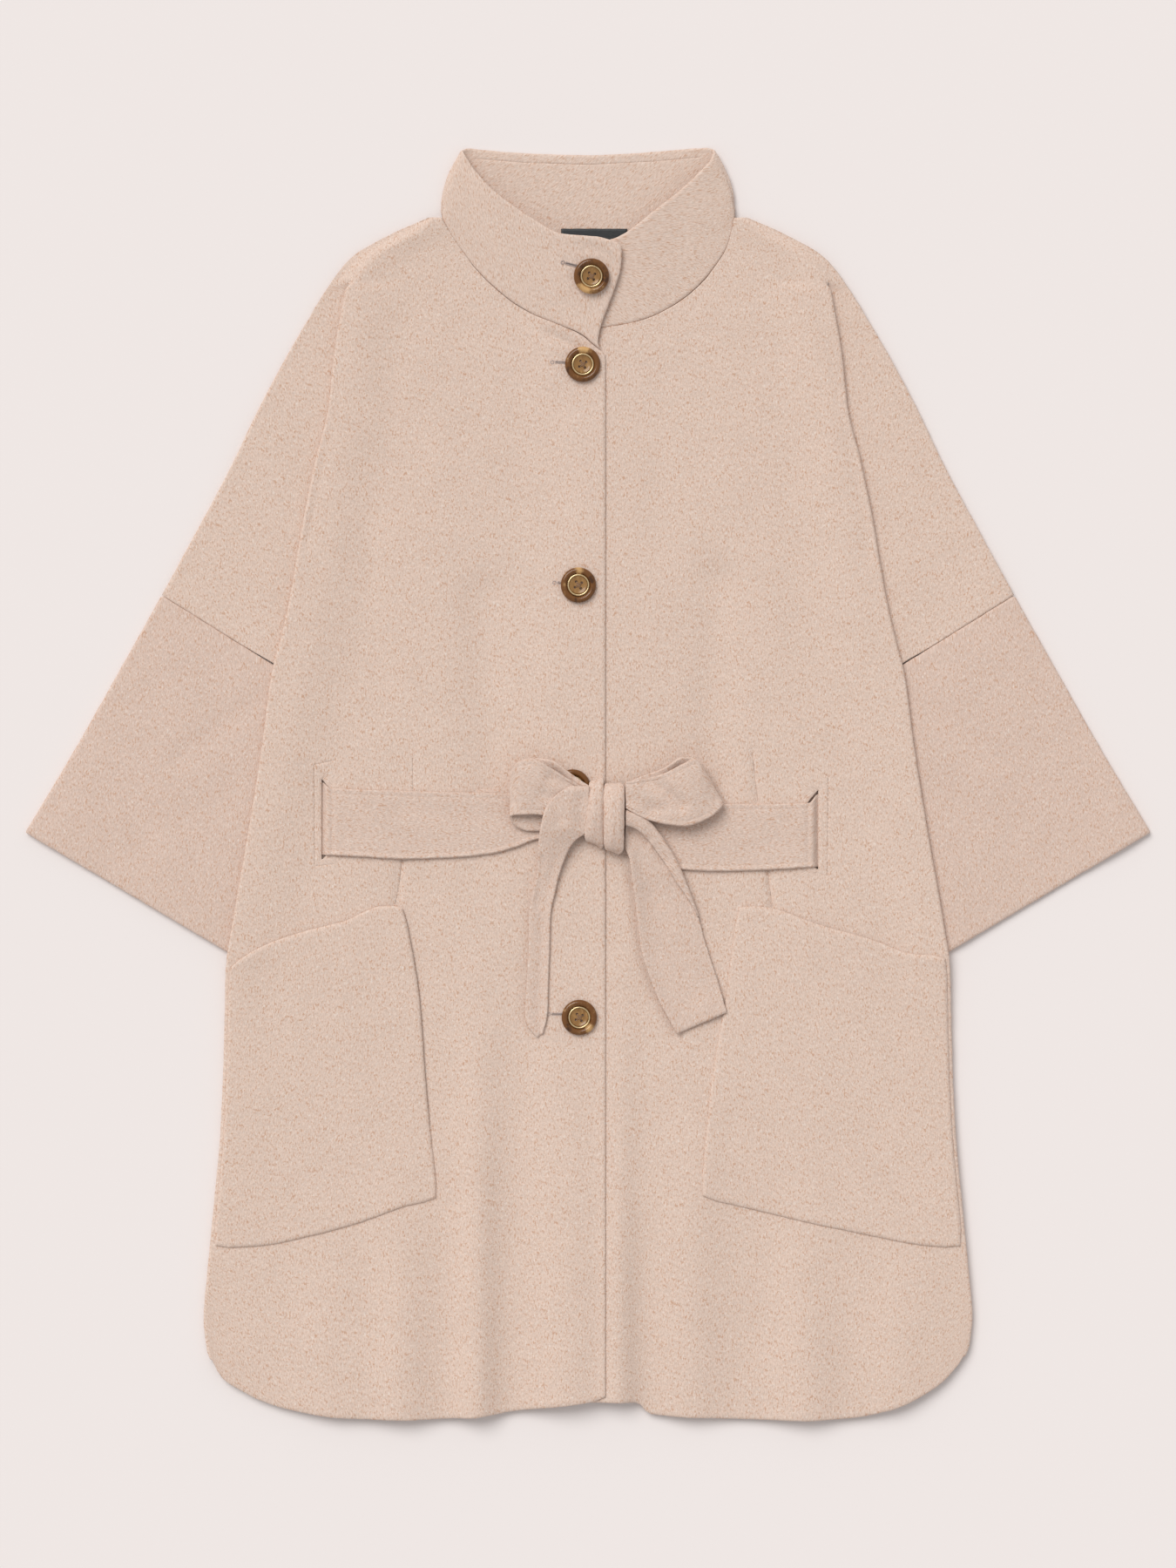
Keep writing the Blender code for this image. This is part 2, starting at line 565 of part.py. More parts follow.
def make_label(finish, collection):
    left, right, bottom, top = LABEL
    z = WALL + LABEL_GAP + LABEL_THICKNESS / 2
    rows = [[(left, y, z), (right, y, z)] for y in (top, bottom)]
    cloth("label", rows, finish, collection, thickness=LABEL_THICKNESS)


# ---------------------------------------------------------------- pockets
def pocket_rows(side, edges, inner):
    rows = []
    for j in range(POCKET_ROWS + 1):
        down = j / POCKET_ROWS
        row = []
        for i in range(POCKET_COLUMNS + 1):
            share = i / POCKET_COLUMNS
            level = lerp(curve(edges, share, 1), curve(edges, share, 2), down)
            outer = curve(SIDE_EDGE, level) - POCKET_SIDE_INSET
            x = side * lerp(curve(inner, down), outer, share)
            gape = POCKET_GAPE * sin(pi * share) * (1 - down) ** 3
            row.append((x, level, top_height(x, level) + LAYER + POCKET_EASE + gape))
        rows.append(row)
    return rows


def make_pockets(finish, collection):
    cloth("pocket_right", pocket_rows(-1, POCKET_RIGHT_EDGES, POCKET_RIGHT_INNER), finish, collection)
    cloth("pocket_left", pocket_rows(1, POCKET_LEFT_EDGES, POCKET_LEFT_INNER), finish, collection)


# ---------------------------------------------------------------- belt and bow
def strip_rows(stations, slit, side):
    """A belt strip: up out of its slit, then along the front to the knot."""
    x0, y0 = slit
    half = BELT_WIDTH / 2
    out_z = BODY_MID + LAYER + 2 * BELT_EASE
    climb = ((side * SLIT_REACH, INSIDE_MID), (side * SLIT_RUN / 2, INSIDE_MID),
             (-side * SLIT_RUN / 2, out_z))
    rows = []
    for offset, z in climb:
        rows.append([(x0 + offset, lerp(y0 + half, y0 - half, i / 3), z) for i in range(4)])
    for x, top, bottom in stations:
        near_knot = smoothstep(1 - (abs(x - LAP_EDGE) - KNOT_LEVEL) / KNOT_RAMP)
        row = []
        for i in range(4):
            y = lerp(top, bottom, i / 3)
            z = top_height(x, y) + LAYER + BELT_EASE
            knot_z = BODY_MID + LAP_LIFT + LAYER + BELT_EASE
            row.append((x, y, lerp(z, knot_z, near_knot) if x > LAP_EDGE else z))
        rows.append(row)
    return rows


def loop_rows(stations, end, side):
    """A bow loop: out from the knot, round its far end and back above itself."""
    far = stations[-1]
    low, high = far[3], far[4]
    radius_z = (high - low) / 2
    radius_x = end - abs(far[0]) - WALL / 2
    rows = [(x, top, bottom, z, z) for x, top, bottom, z, _, _ in stations]
    for i in range(1, LOOP_TURN_STEPS):
        angle = -pi / 2 + pi * i / LOOP_TURN_STEPS
        x = far[0] + side * radius_x * cos(angle)
        z = low + radius_z * (1 + sin(angle))
        narrower = LOOP_TURN_NARROW * cos(angle)
        rows.append((x, far[1] - narrower, far[2] + narrower, z, z))
    rows += [(x, top, bottom, high_z, lerp(low_z, high_z, left))
             for x, top, bottom, low_z, high_z, left in reversed(stations)]
    return [[(x, lerp(top, bottom, i / 4), lerp(z, mouth_z, loop_sag(i / 4))) for i in range(5)]
            for x, top, bottom, z, mouth_z in rows]


def loop_sag(share):
    """How far the upper layer of a loop has come down towards its lower mouth."""
    return smoothstep((share - 0.3) / 0.7)


def tail_rows(stations):
    return [[(lerp(left_x, right_x, i / 3), lerp(left_y, right_y, i / 3), lerp(left_z, right_z, i / 3))
             for i in range(4)]
            for left_x, left_y, right_x, right_y, left_z, right_z in stations]


def make_belt(finish, collection):
    cloth("belt_front_right", strip_rows(BELT_RIGHT, SLIT_RIGHT, -1), finish, collection)
    cloth("belt_front_left", strip_rows(BELT_LEFT, SLIT_LEFT, 1), finish, collection)
    half = BELT_WIDTH / 2
    ends = ((SLIT_RIGHT, 1), (SLIT_LEFT, -1))
    rows = []
    for (x, y), turn in ends:
        end = x + turn * INSIDE_SHORT
        rows.append([(end, y + half, INSIDE_MID), (end, y - half, INSIDE_MID)])
    cloth("belt_inside", rows, finish, collection)
    cloth("bow_loop_right", loop_rows(LOOP_RIGHT, LOOP_RIGHT_END, -1), finish, collection)
    cloth("bow_loop_left", loop_rows(LOOP_LEFT, LOOP_LEFT_END, 1), finish, collection)
    cloth("bow_tail_right", tail_rows(TAIL_RIGHT), finish, collection)
    cloth("bow_tail_left", tail_rows(TAIL_LEFT), finish, collection)


def make_knot(finish, collection):
    """Each wrap is a padded band: a box whose faces a subdivision surface rounds."""
    for number, (x, y, half_width, half_length, low, high) in enumerate(WRAPS, start=1):
        bpy.ops.mesh.primitive_cube_add(size=2)
        piece = bpy.context.active_object
        piece.name = "belt_knot_%d" % number
        size = [half_size / WRAP_SHRINK for half_size in (half_width, half_length, (high - low) / 2)]
        centre = (x, y, (high + low) / 2)
        for vertex in piece.data.vertices:
            vertex.co = [(c + part * s) * MM for c, part, s in zip(centre, vertex.co, size)]
        soften = piece.modifiers.new("Soften", "SUBSURF")
        soften.levels = 2
        soften.render_levels = 2
        piece.data.materials.append(finish)
        for owner in list(piece.users_collection):
            owner.objects.unlink(piece)
        collection.objects.link(piece)


# ---------------------------------------------------------------- buttons
def button_seat(index, x, y):
    """Height of the cloth's face under a button, and its slope there."""
    if index == 0:
        base, top = COLLAR[1], COLLAR[2]
        return collar_height(x, y) + WALL / 2, atan2(top[5] - base[2], top[4] - base[1])
    return top_height(x, y) + WALL / 2, 0.0


def make_buttons(horn, metal, collection, cutters):
    for index, (x, y) in enumerate(BUTTONS):
        floor, tilt = button_seat(index, x, y)
        z = floor + BUTTON_LIFT + (COLLAR_BUTTON_LIFT if index == 0 else 0.0)
        name = "button_%d" % (index + 1)
        button = turned(name, BUTTON_PROFILE, (x, y, z), tilt, horn, collection)
        turned("ring_%d" % (index + 1), RING_PROFILE, (x, y, z), tilt, metal, collection)
        for hole in range(4):
            angle = BUTTON_TURN + hole * pi / 2
            across, along = BUTTON_HOLE_OUT * cos(angle), BUTTON_HOLE_OUT * sin(angle)
            place = (x + across, y + along * cos(tilt), z + along * sin(tilt))
            bpy.ops.mesh.primitive_cylinder_add(vertices=6, radius=BUTTON_HOLE_SIZE / 2 * MM,
                                                depth=BUTTON_DRILL * MM,
                                                location=[part * MM for part in place],
                                                rotation=(tilt, 0, 0))
            drill = bpy.context.active_object
            drill.name = "%s_hole_%d" % (name, hole + 1)
            keep_as_cutter(drill, cutters)
            cut(button, drill)


# ---------------------------------------------------------------- the coat
def main():
    for old in list(bpy.data.objects):
        bpy.data.objects.remove(old)
    coat = bpy.data.collections.new("Belted coat")
    cutters = bpy.data.collections.new("Cutters")
    for collection in (coat, cutters):
        bpy.context.scene.collection.children.link(collection)
    wool = material("Wool", (0.60, 0.44, 0.32), 0.95)
    satin = material("Label satin", (0.03, 0.03, 0.035), 0.5)
    horn = material("Button", (0.20, 0.11, 0.05), 0.3)
    metal = material("Button ring", (0.45, 0.36, 0.22), 0.35, 1.0)
    make_back(wool, coat)
    make_fronts(wool, coat, cutters)
    make_sleeves(wool, coat)
    make_collar(wool, coat)
    make_label(satin, coat)
    make_pockets(wool, coat)
    make_belt(wool, coat)
    make_knot(wool, coat)
    make_buttons(horn, metal, coat, cutters)


main()
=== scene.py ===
"""The looks of a belted wool coat, laid flat on its back on a plain floor.

Lengths in the tables are millimetres, in the part's own frame: +X is the viewer's right,
+Y runs from hem to collar, +Z is up.  "Out" is a distance from the centre line towards
either side.  The wearer's right half is the viewer's left one.
"""
from math import atan2, ceil, cos, exp, pi, radians, sin

import bmesh
import bpy
from bpy.props import FloatProperty, FloatVectorProperty, IntProperty, PointerProperty
from bpy.types import Operator, Panel, PropertyGroup
from mathutils import Matrix, Vector, noise


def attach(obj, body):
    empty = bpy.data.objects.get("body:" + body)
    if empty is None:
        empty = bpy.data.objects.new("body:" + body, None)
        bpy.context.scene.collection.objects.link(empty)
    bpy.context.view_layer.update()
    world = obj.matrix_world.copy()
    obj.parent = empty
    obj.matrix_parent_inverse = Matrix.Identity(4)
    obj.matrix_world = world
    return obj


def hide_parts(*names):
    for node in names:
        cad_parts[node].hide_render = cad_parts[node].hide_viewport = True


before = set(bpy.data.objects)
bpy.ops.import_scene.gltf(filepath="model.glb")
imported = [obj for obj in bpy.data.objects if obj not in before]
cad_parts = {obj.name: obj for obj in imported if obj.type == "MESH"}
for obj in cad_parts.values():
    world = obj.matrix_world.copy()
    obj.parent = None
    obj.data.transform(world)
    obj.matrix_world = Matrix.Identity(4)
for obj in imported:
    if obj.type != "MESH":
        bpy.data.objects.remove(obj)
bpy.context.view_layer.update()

bl_info = {
    "name": "Belted coat",
    "version": (1, 0, 0),
    "blender": (4, 5, 0),
    "location": "3D View > Sidebar > Coat",
    "description": "Builds a belted wool coat laid flat, piece by piece",
    "category": "Object",
}

MM = 0.001

# -------- sizes of the pieces
# Most of these repeat the solids' own; the lap, the hem's folds and the bow are finer here.
WALL = 2.0               # double-faced cloth
SEAM_GAP = 0.35
BACK_MID = WALL / 2      # middle of the cloth that lies on the floor
ARM_MID = 3.9            # front half of a sleeve
TUCK_MID = 6.6           # cloth turned under at the side fold
BODY_MID = 5.6           # fronts at the middle of the body
LAYER = WALL + 0.4       # one layer laid on another, middle to middle
LAP_LIFT = 2.25          # the overlapping front above the one below it
LAP_EDGE = 14.0          # the overlapping front reaches this far past the centre line
LAP_UNDER = 24.5         # the front below it reaches this far the other way
LAP_SINK = 36.0          # the lap's extra height ends over this length
SIDE_SINK = 45.0         # and the side's over this one
SIDE_EASE = 4.0          # which starts this far inside the tucked cloth
CURL = (TUCK_MID - ARM_MID) / 2

SHOULDER_Y = 397.0       # the side fold starts here
UNDERARM_Y = 86.0
CUFF_Y = -141.0
CUFF_SHORT = 5.0
SEAM_TOP_Y = 152.0       # sleeve seam, at the outer edge of the arm
HEM_START_Y = -380.0     # rows bend towards the hem below this
HEM_CORNER_Y = -455.0

# outer edge of shoulder and arm: (level, out)
OVERARM = ((-40, 453), (-27, 445), (29, 411.6), (85, 380), (141, 348.6), (197, 318),
           (253, 288), (309, 261), (365, 230), (406, 203.5), (423, 189), (440, 160), (457, 122))
# fold where the body lies over the arm: (level, out)
SIDE_FOLD = ((-141, 290.5), (-96, 283), (-30, 271.5), (33, 261.5), (90, 254), (112, 248),
             (155, 238.5), (211, 229), (260, 219), (300, 209), (345, 204), (397, 195))
# how far the cloth goes back in under that fold: (level, depth)
TUCK_DEPTH = ((-141, 5), (-96, 6.5), (-30, 10), (33, 14), (86, 18), (155, 15), (211, 13),
              (260, 11), (300, 9), (345, 7), (397, 5))
# side edge below the cuff: (level, out)
SIDE_EDGE = ((-455, 303.5), (-447, 306.5), (-425, 309), (-391, 306), (-335, 300.5),
             (-279, 295.5), (-223, 293), (-141, 291))
# lift of the body cloth along its side: (level, lift)
SIDE_LIFT = ((-455, 0.2), (-200, 0.4), (-150, 2.6), (-140, 3.8), (397, 3.8), (425, 2.6), (457, 1.4))
# inner edge of each front, neck curve included: (level, out)
INNER_RIGHT = ((-500, -14), (344, -14), (348, -10), (354, -3), (361, 5.6), (368, 22), (378, 46),
               (392, 67), (411, 87.5), (433, 105), (455, 119))
INNER_LEFT = ((-500, -24.5), (361, -24.5), (366, 12), (369, 31), (377, 55), (393, 81),
              (411, 98.7), (433, 112.7), (455, 118.5))
# hem of each front: (out, level)
HEM_RIGHT = ((-14, -491), (-5, -495), (54, -503), (101, -509), (150, -510.5), (200, -509),
             (228, -505), (256, -498), (283, -485), (293, -478), (300, -466), (303.5, -455))
HEM_LEFT = ((-25, -496), (39, -496.5), (50, -506), (92, -509), (173, -511), (208, -509.6),
            (242, -503), (277, -486), (291, -474), (300, -462), (303.5, -455))
HEM_FULL_Y = -500.0      # the hem's folds have their full height here
# soft folds that rise towards the hem: (x, level where it starts, height, half width)
HEM_FOLDS = ((-205, -330, 4.2, 30), (-150, -250, 7.4, 23), (-89, -60, 10.0, 15.5), (-14, -150, 8.0, 28),
             (25, -90, 8.0, 13), (84, -90, 5.6, 24), (176, -250, 6.4, 24), (252, -300, 4.8, 28))

# collar, from its overlapping end round the back to its hidden end:
# (base x, base y, base z, top x, top y, top z)
COLLAR = ((10.6, 350.5, 8.1, 26.3, 433, 16.4), (-5.0, 363.5, 8.1, 10, 438, 16.4),
          (-21.7, 370.5, 7.9, -21.7, 441, 16.2), (-46, 381, 6.8, -42.7, 452, 15.4),
          (-67, 395, 6.2, -61.6, 464.5, 14.6), (-87.5, 414, 6.0, -79, 479, 13.2),
          (-103, 434.5, 5.8, -92, 494, 11.4), (-113, 450, 5.2, -99.5, 506, 9.2),
          (-117.6, 458.6, 3.6, -100.8, 509.2, 5.0), (-113, 462, 1.6, -95.5, 511.3, 1.9),
          (-104, 460, 1.0, -88, 510.5, 1.0), (-60, 444, 1.0, -50, 507.5, 1.0),
          (0, 437, 1.0, 2, 506, 1.0), (60, 444, 1.0, 52, 508.5, 1.0),
          (104, 460, 1.0, 87, 511.5, 1.0), (113, 462, 1.6, 95.5, 511.8, 1.9),
          (117.3, 458.6, 3.6, 100.8, 509.4, 5.0), (113.5, 450, 5.2, 99.2, 502.5, 9.0),
          (109.5, 434.5, 5.6, 88, 489.5, 10.8), (96.5, 414, 5.7, 71, 474, 11.8),
          (79.5, 396.5, 5.7, 54, 460.5, 12.4), (54, 380, 5.7, 37, 447, 12.2),
          (30, 372.5, 5.6, 22, 438, 11.2), (4, 368.8, 5.6, 2, 434, 10.4),
          (-20, 366, 5.6, -14, 431, 10.2))
COLLAR_BOW = 4.5         # the collar's sides bow out between base and top

# patch pockets: edges across from the inner to the outer side
# (share of the way out, top level, bottom level)
POCKET_RIGHT_EDGES = ((0, -97.3, -334), (0.13, -98.4, -338), (0.35, -110.6, -352),
                      (0.55, -117.6, -362), (0.8, -129.5, -371), (1, -146, -373))
POCKET_LEFT_EDGES = ((0, -97.3, -332), (0.15, -99.4, -339), (0.37, -112, -350),
                     (0.64, -125, -362), (0.84, -136.5, -370), (1, -138, -373))
# its inner side: (share of the way down, out)
POCKET_RIGHT_INNER = ((0, 148.4), (0.3, 136), (0.65, 129.5), (1, 120.4))
POCKET_LEFT_INNER = ((0, 120.4), (0.3, 111), (0.65, 98), (1, 90.3))
POCKET_SIDE_INSET = 3.2
POCKET_GAPE = 1.6

# belt: (x, top level, bottom level), from the slit to the knot
BELT_RIGHT = ((-204, -3.5, -57.4), (-183, -4.4, -58.5), (-148, -5.5, -60.2), (-115, -6.5, -59.5),
              (-78, -7.3, -56), (-59, -7.8, -51), (-40, -11, -44.5),
              (-26, -18.5, -43), (1.4, -18.5, -41))
BELT_LEFT = ((176, -15.4, -67), (143, -16, -69), (104, -16, -70), (73.5, -14, -68.6),
             (54, -12, -58), (29.9, -9, -46))
BELT_WIDTH = 54.0
BELT_EASE = 0.2
INSIDE_MID = 3.3         # belt that crosses the back inside the coat
INSIDE_CLEAR = 3.0       # it ends this far short of the slits
INSIDE_STEP = 8.0

# buttons: (x, y)
BUTTONS = ((2.8, 406.7), (-4.2, 336.7), (-7.7, 159.6), (-12.2, -2.4), (-7.0, -187.3))
BUTTON_LIFT = 0.5
FIRST_BUTTON_EXTRA = 1.2
LABEL = (-21.7, 31.5, 428.6, 446.6)     # left, right, bottom, top
LABEL_THICKNESS = 0.8
LABEL_GAP = 0.3          # between the label and the back of the collar
LABEL_DROP = 0.3         # its edges sink by this much
LABEL_STEP = 2.0

# -------- finer sizes, seen only here
GRAIN_STEP = 3.6         # spacing of the cloth's mesh lines
# rounded rim of an open edge: (distance in from the edge, share of the wall there)
RIM = ((0.0, 0.18), (0.25, 0.46), (0.85, 0.77), (2.0, 1.0))
RIM_DROP = 0.8           # the thinned rim sinks towards what it lies on
RIM_REACH = 0.85         # a rim line keeps within this share of the way to the next line
MERGE = 0.02             # points closer than this become one
SLIT_MARGIN = 8.0        # a slit's mesh lines are cut this far round it
SLIT_FADE = 6.0          # the pull on a slit's ends fades out over this length
SLIT_DRAWN = 0.93        # its inner lip is drawn over this share of the gap
LIP_FULL = 1.3           # the pull is full to this many gaps from the outer lip
LIP_FADE = 1.5           # and fades out over this many more
SEAM_DEPTH = 0.55        # the groove of a stitched seam
SEAM_WIDTH = 0.7
SEAM_REACHES = (6.0, 3.4, 2.0)   # the mesh is made finer in steps, this far from a seam
# unevenness of the laid cloth: (height, length across, length along, place in the noise)
DRAPE_WAVES = ((1.7, 80, 230, 3.1), (0.65, 34, 85, 7.7), (0.16, 13, 21, 11.3))
EDGE_WANDER = 0.3        # cut edges wander sideways by this much
EDGE_WANDER_LENGTH = 7.0
ELSEWHERE = 31.7         # how far off in the noise the second wander is read
FLOOR_FADE = 4.0         # the unevenness grows from nothing at the floor to its full over this
BUMP_REACH = 3           # a ridge is nothing beyond this many of its widths
TOP_STEPS = 78           # columns across a front's top layer
SIDE_STEPS = 20          # round its side
ARM_STEPS = 26           # and out along the arm
# between these levels one section of a front turns into the next
BLENDED_LEVELS = ((403, 397), (97, 86), (-138, -150))


# -------- small tools
def smoothstep(value):
    """0 below 0, 1 above 1, and a soft S between."""
    value = min(max(value, 0.0), 1.0)
    return value * value * (3 - 2 * value)


def lerp(start, end, share):
    return start + (end - start) * share


def mix(start, end, share):
    """The point part of the way between two points."""
    return tuple(lerp(a, b, share) for a, b in zip(start, end))


def step_length(start, end):
    return sum((b - a) ** 2 for a, b in zip(start, end)) ** 0.5


def bump(distance, width):
    """A soft ridge of height 1 across a line, width from its top to its shoulder."""
    return exp(-(distance / width) ** 2)


def curve(table, at, column=1):
    """Read a table through a smooth curve that never overshoots its points."""
    if at <= table[0][0]:
        return table[0][column]
    if at >= table[-1][0]:
        return table[-1][column]
    index = next(i for i in range(len(table) - 1) if at <= table[i + 1][0])

    def slope(i):
        return (table[i + 1][column] - table[i][column]) / (table[i + 1][0] - table[i][0])

    def tangent(i):
        if i in (0, len(table) - 1):
            return slope(min(i, len(table) - 2))
        before, after = slope(i - 1), slope(i)
        return 0.0 if before * after <= 0 else 2 * before * after / (before + after)

    width = table[index + 1][0] - table[index][0]
    t = (at - table[index][0]) / width
    start, end = table[index][column], table[index + 1][column]
    return ((2 * t ** 3 - 3 * t ** 2 + 1) * start + (t ** 3 - 2 * t ** 2 + t) * width * tangent(index)
            + (3 * t ** 2 - 2 * t ** 3) * end + (t ** 3 - t ** 2) * width * tangent(index + 1))


def stations(table, steps):
    """Evenly spaced stations along a table's rows, each with all of the table's columns there."""
    rows = [(i, *row) for i, row in enumerate(table)]
    places = [(len(table) - 1) * i / steps for i in range(steps + 1)]
    return [(at, *[curve(rows, at, column) for column in range(1, len(rows[0]))]) for at in places]


def shares(steps):
    """Evenly spaced shares from 0 to 1, both included."""
    return [i / steps for i in range(steps + 1)]


def spaced(start, end, step):
    """Evenly spaced values from start to end, both included, at most a step apart."""
    return [lerp(start, end, share) for share in shares(max(1, ceil(abs(end - start) / step)))]


def distance_to(point, path):
    """How far a place on the plan lies from a line of places."""
    best = 1e9
    for (ax, ay), (bx, by) in zip(path, path[1:]):
        run_x, run_y = bx - ax, by - ay
        along = ((point[0] - ax) * run_x + (point[1] - ay) * run_y) / (run_x ** 2 + run_y ** 2)
        along = min(max(along, 0.0), 1.0)
        off_x, off_y = point[0] - ax - run_x * along, point[1] - ay - run_y * along
        best = min(best, (off_x ** 2 + off_y ** 2) ** 0.5)
    return best


# -------- heights of the laid cloth
def hem_folds(x, y):
    """Height that the folds towards the hem add at a place."""
    total = 0.0
    for centre, start, height, half_width in HEM_FOLDS:
        grown = smoothstep((start - y) / (start - HEM_FULL_Y))
        total += height * grown * bump(x - centre, half_width)
    return total


def outer_line(y):
    """Outer edge of the body: the side fold, the side edge, or the arm above the fold."""
    if y < CUFF_Y:
        return curve(SIDE_EDGE, y)
    if y <= SHOULDER_Y:
        return curve(SIDE_FOLD, y)
    return curve(OVERARM, y)


def body_height(x, y):
    """Middle of the body cloth, one layer of front thick."""
    full_lift = outer_line(y) - curve(TUCK_DEPTH, y) - SIDE_EASE
    near_side = smoothstep((abs(x) - full_lift) / SIDE_SINK + 1)
    return BODY_MID + curve(SIDE_LIFT, y) * near_side + hem_folds(x, y)


def lap(x):
    """Extra height of the overlapping front over the one below it."""
    return LAP_LIFT * (1 - smoothstep((-x - LAP_UNDER) / LAP_SINK))


def top_height(x, y):
    """Middle of the topmost front at a place."""
    return body_height(x, y) + (lap(x) if x <= LAP_EDGE else 0.0)


def drape(x, y):
    """Slow unevenness of everything that is laid at a place, so that layers keep apart."""
    return sum(height * noise.noise(Vector((x / across, y / along, place)))
               for height, across, along, place in DRAPE_WAVES)


def settled(point):
    """A point of the laid cloth with the unevenness of real cloth; the floor stays flat."""
    x, y, z = point
    here = Vector((x, y, 0)) / EDGE_WANDER_LENGTH
    wander_x = EDGE_WANDER * noise.noise(here)
    wander_y = EDGE_WANDER * noise.noise(here + Vector((ELSEWHERE, 0, 0)))
    return (x + wander_x, y + wander_y, z + drape(x, y) * smoothstep((z - BACK_MID) / FLOOR_FADE))


# -------- cloth
def rim_lines(lines):
    """Adds lines close to both ends of a list of lines, and gives each its share of the wall."""
    made = []

    def near(edge, inner, distance):
        line = []
        for a, b in zip(edge, inner):
            length = step_length(a, b)
            line.append(mix(a, b, min(distance / length, RIM_REACH)) if length > MERGE / 2 else a)
        return line

    for distance, share in RIM:
        made.append((near(lines[0], lines[1], distance), share))
    made += [(line, 1.0) for line in lines[1:-1]]
    for distance, share in reversed(RIM):
        made.append((near(lines[-1], lines[-2], distance), share))
    return made


def weave_lengths(rows):
    """Place of each grid point on the flat cloth: along its row, and down the middle column."""
    middle = len(rows[0]) // 2
    first, last = rows[len(rows) // 2][0], rows[len(rows) // 2][-1]
    sideways = abs(last[0] - first[0]) > abs(last[1] - first[1])
    way = -1 if sideways and last[0] < first[0] else 1
    down, places = rows[0][middle][1], []
    for i, row in enumerate(rows):
        if i:
            down -= step_length(rows[i - 1][middle], row[middle])
        along = row[0][0] if sideways else 0.0
        line = [(along, down)]
        for before, here in zip(row, row[1:]):
            along += way * step_length(before, here)
            line.append((along, down))
        places.append(line)
    return places


def cloth_sheet(rows, closed=False, drop=RIM_DROP):
    """The cloth's middle sheet as a bmesh, with a flat map and each point's share of the wall."""
    rows = [[settled(point) for point in row] for row in rows]
    lined = rim_lines(rows)
    rows, row_shares = [line for line, _ in lined], [share for _, share in lined]
    column_shares = [1.0] * len(rows[0])
    if not closed:
        lined = rim_lines(list(zip(*rows)))
        rows = list(zip(*[line for line, _ in lined]))
        column_shares = [share for _, share in lined]
    made = bmesh.new()
    flat = made.loops.layers.uv.new("Cloth")
    share_of = made.verts.layers.deform.verify()
    grid = []
    for row, row_share in zip(rows, row_shares):
        line = []
        for point, column_share in zip(row, column_shares):
            share = min(row_share, column_share)
            x, y, z = point
            vertex = made.verts.new((x * MM, y * MM, (z - (1 - share) * drop) * MM))
            vertex[share_of][0] = share
            line.append(vertex)
        grid.append(line)
    places = weave_lengths([[*row, row[0]] if closed else list(row) for row in rows])
    count = len(rows[0])
    for i in range(len(rows) - 1):
        for j in range(count if closed else count - 1):
            k = (j + 1) % count
            face = made.faces.new((grid[i][j], grid[i][k], grid[i + 1][k], grid[i + 1][j]))
            face.smooth = True
            for loop, (a, b) in zip(face.loops, ((i, j), (i, j + 1), (i + 1, j + 1), (i + 1, j))):
                loop[flat].uv = [part * MM for part in places[a][b]]
    bmesh.ops.remove_doubles(made, verts=made.verts, dist=MERGE * MM)
    return made


def sheet_area(made):
    """Area of the middle sheet in square metres: what was cut, less what its seams take."""
    return sum(face.calc_area() for face in made.faces)


def score(made, path, below=1000.0):
    """Presses a seam's narrow groove into a sheet along a line, where it lies low enough."""
    for reach in SEAM_REACHES:
        near = []
        for edge in made.edges:
            middle = (edge.verts[0].co + edge.verts[1].co) / 2 / MM
            if middle.z < below and inside_box(middle, path, reach) and distance_to(middle, path) < reach:
                near.append(edge)
        bmesh.ops.subdivide_edges(made, edges=near, cuts=1, use_grid_fill=True)
    for vertex in made.verts:
        place = vertex.co / MM
        if place.z < below and inside_box(place, path, BUMP_REACH * SEAM_WIDTH):
            vertex.co.z -= SEAM_DEPTH * MM * bump(distance_to(place, path), SEAM_WIDTH)


def inside_box(place, path, margin):
    """Whether a place is within a margin of the box round a line."""
    return all(min(point[axis] for point in path) - margin < place[axis]
               < max(point[axis] for point in path) + margin for axis in (0, 1))


def cut_line(made, faces, axis, level):
    """Cuts some faces of a sheet along a straight line: 0 is across x, 1 across y."""
    edges = {edge for face in faces for edge in face.edges}
    verts = {vertex for face in faces for vertex in face.verts}
    place, normal = Vector((0, 0, 0)), Vector((0, 0, 0))
    place[axis], normal[axis] = level * MM, 1
    bmesh.ops.bisect_plane(made, geom=[*verts, *edges, *faces], plane_co=place, plane_no=normal)


def open_slit(made, left, right, bottom, top):
    """Cuts an upright box out of a sheet, and thins the cloth round it to a soft lip."""
    share_of = made.verts.layers.deform.verify()
    box = ((left, bottom), (right, top))

    def faces_within(margin):
        return [face for face in made.faces if inside_box(face.calc_center_median() / MM, box, margin)]

    for offset, _ in RIM:
        cuts = ((0, left - offset), (0, right + offset), (1, bottom - offset), (1, top + offset))
        for axis, level in cuts:
            cut_line(made, faces_within(SLIT_MARGIN), axis, level)
    bmesh.ops.delete(made, geom=faces_within(0), context="FACES")
    for vertex in made.verts:
        x, y = vertex.co.x / MM, vertex.co.y / MM
        out = max(left - x, x - right, bottom - y, y - top)
        if out < RIM[-1][0] + MERGE / 2:
            vertex[share_of][0] = curve(RIM, out)


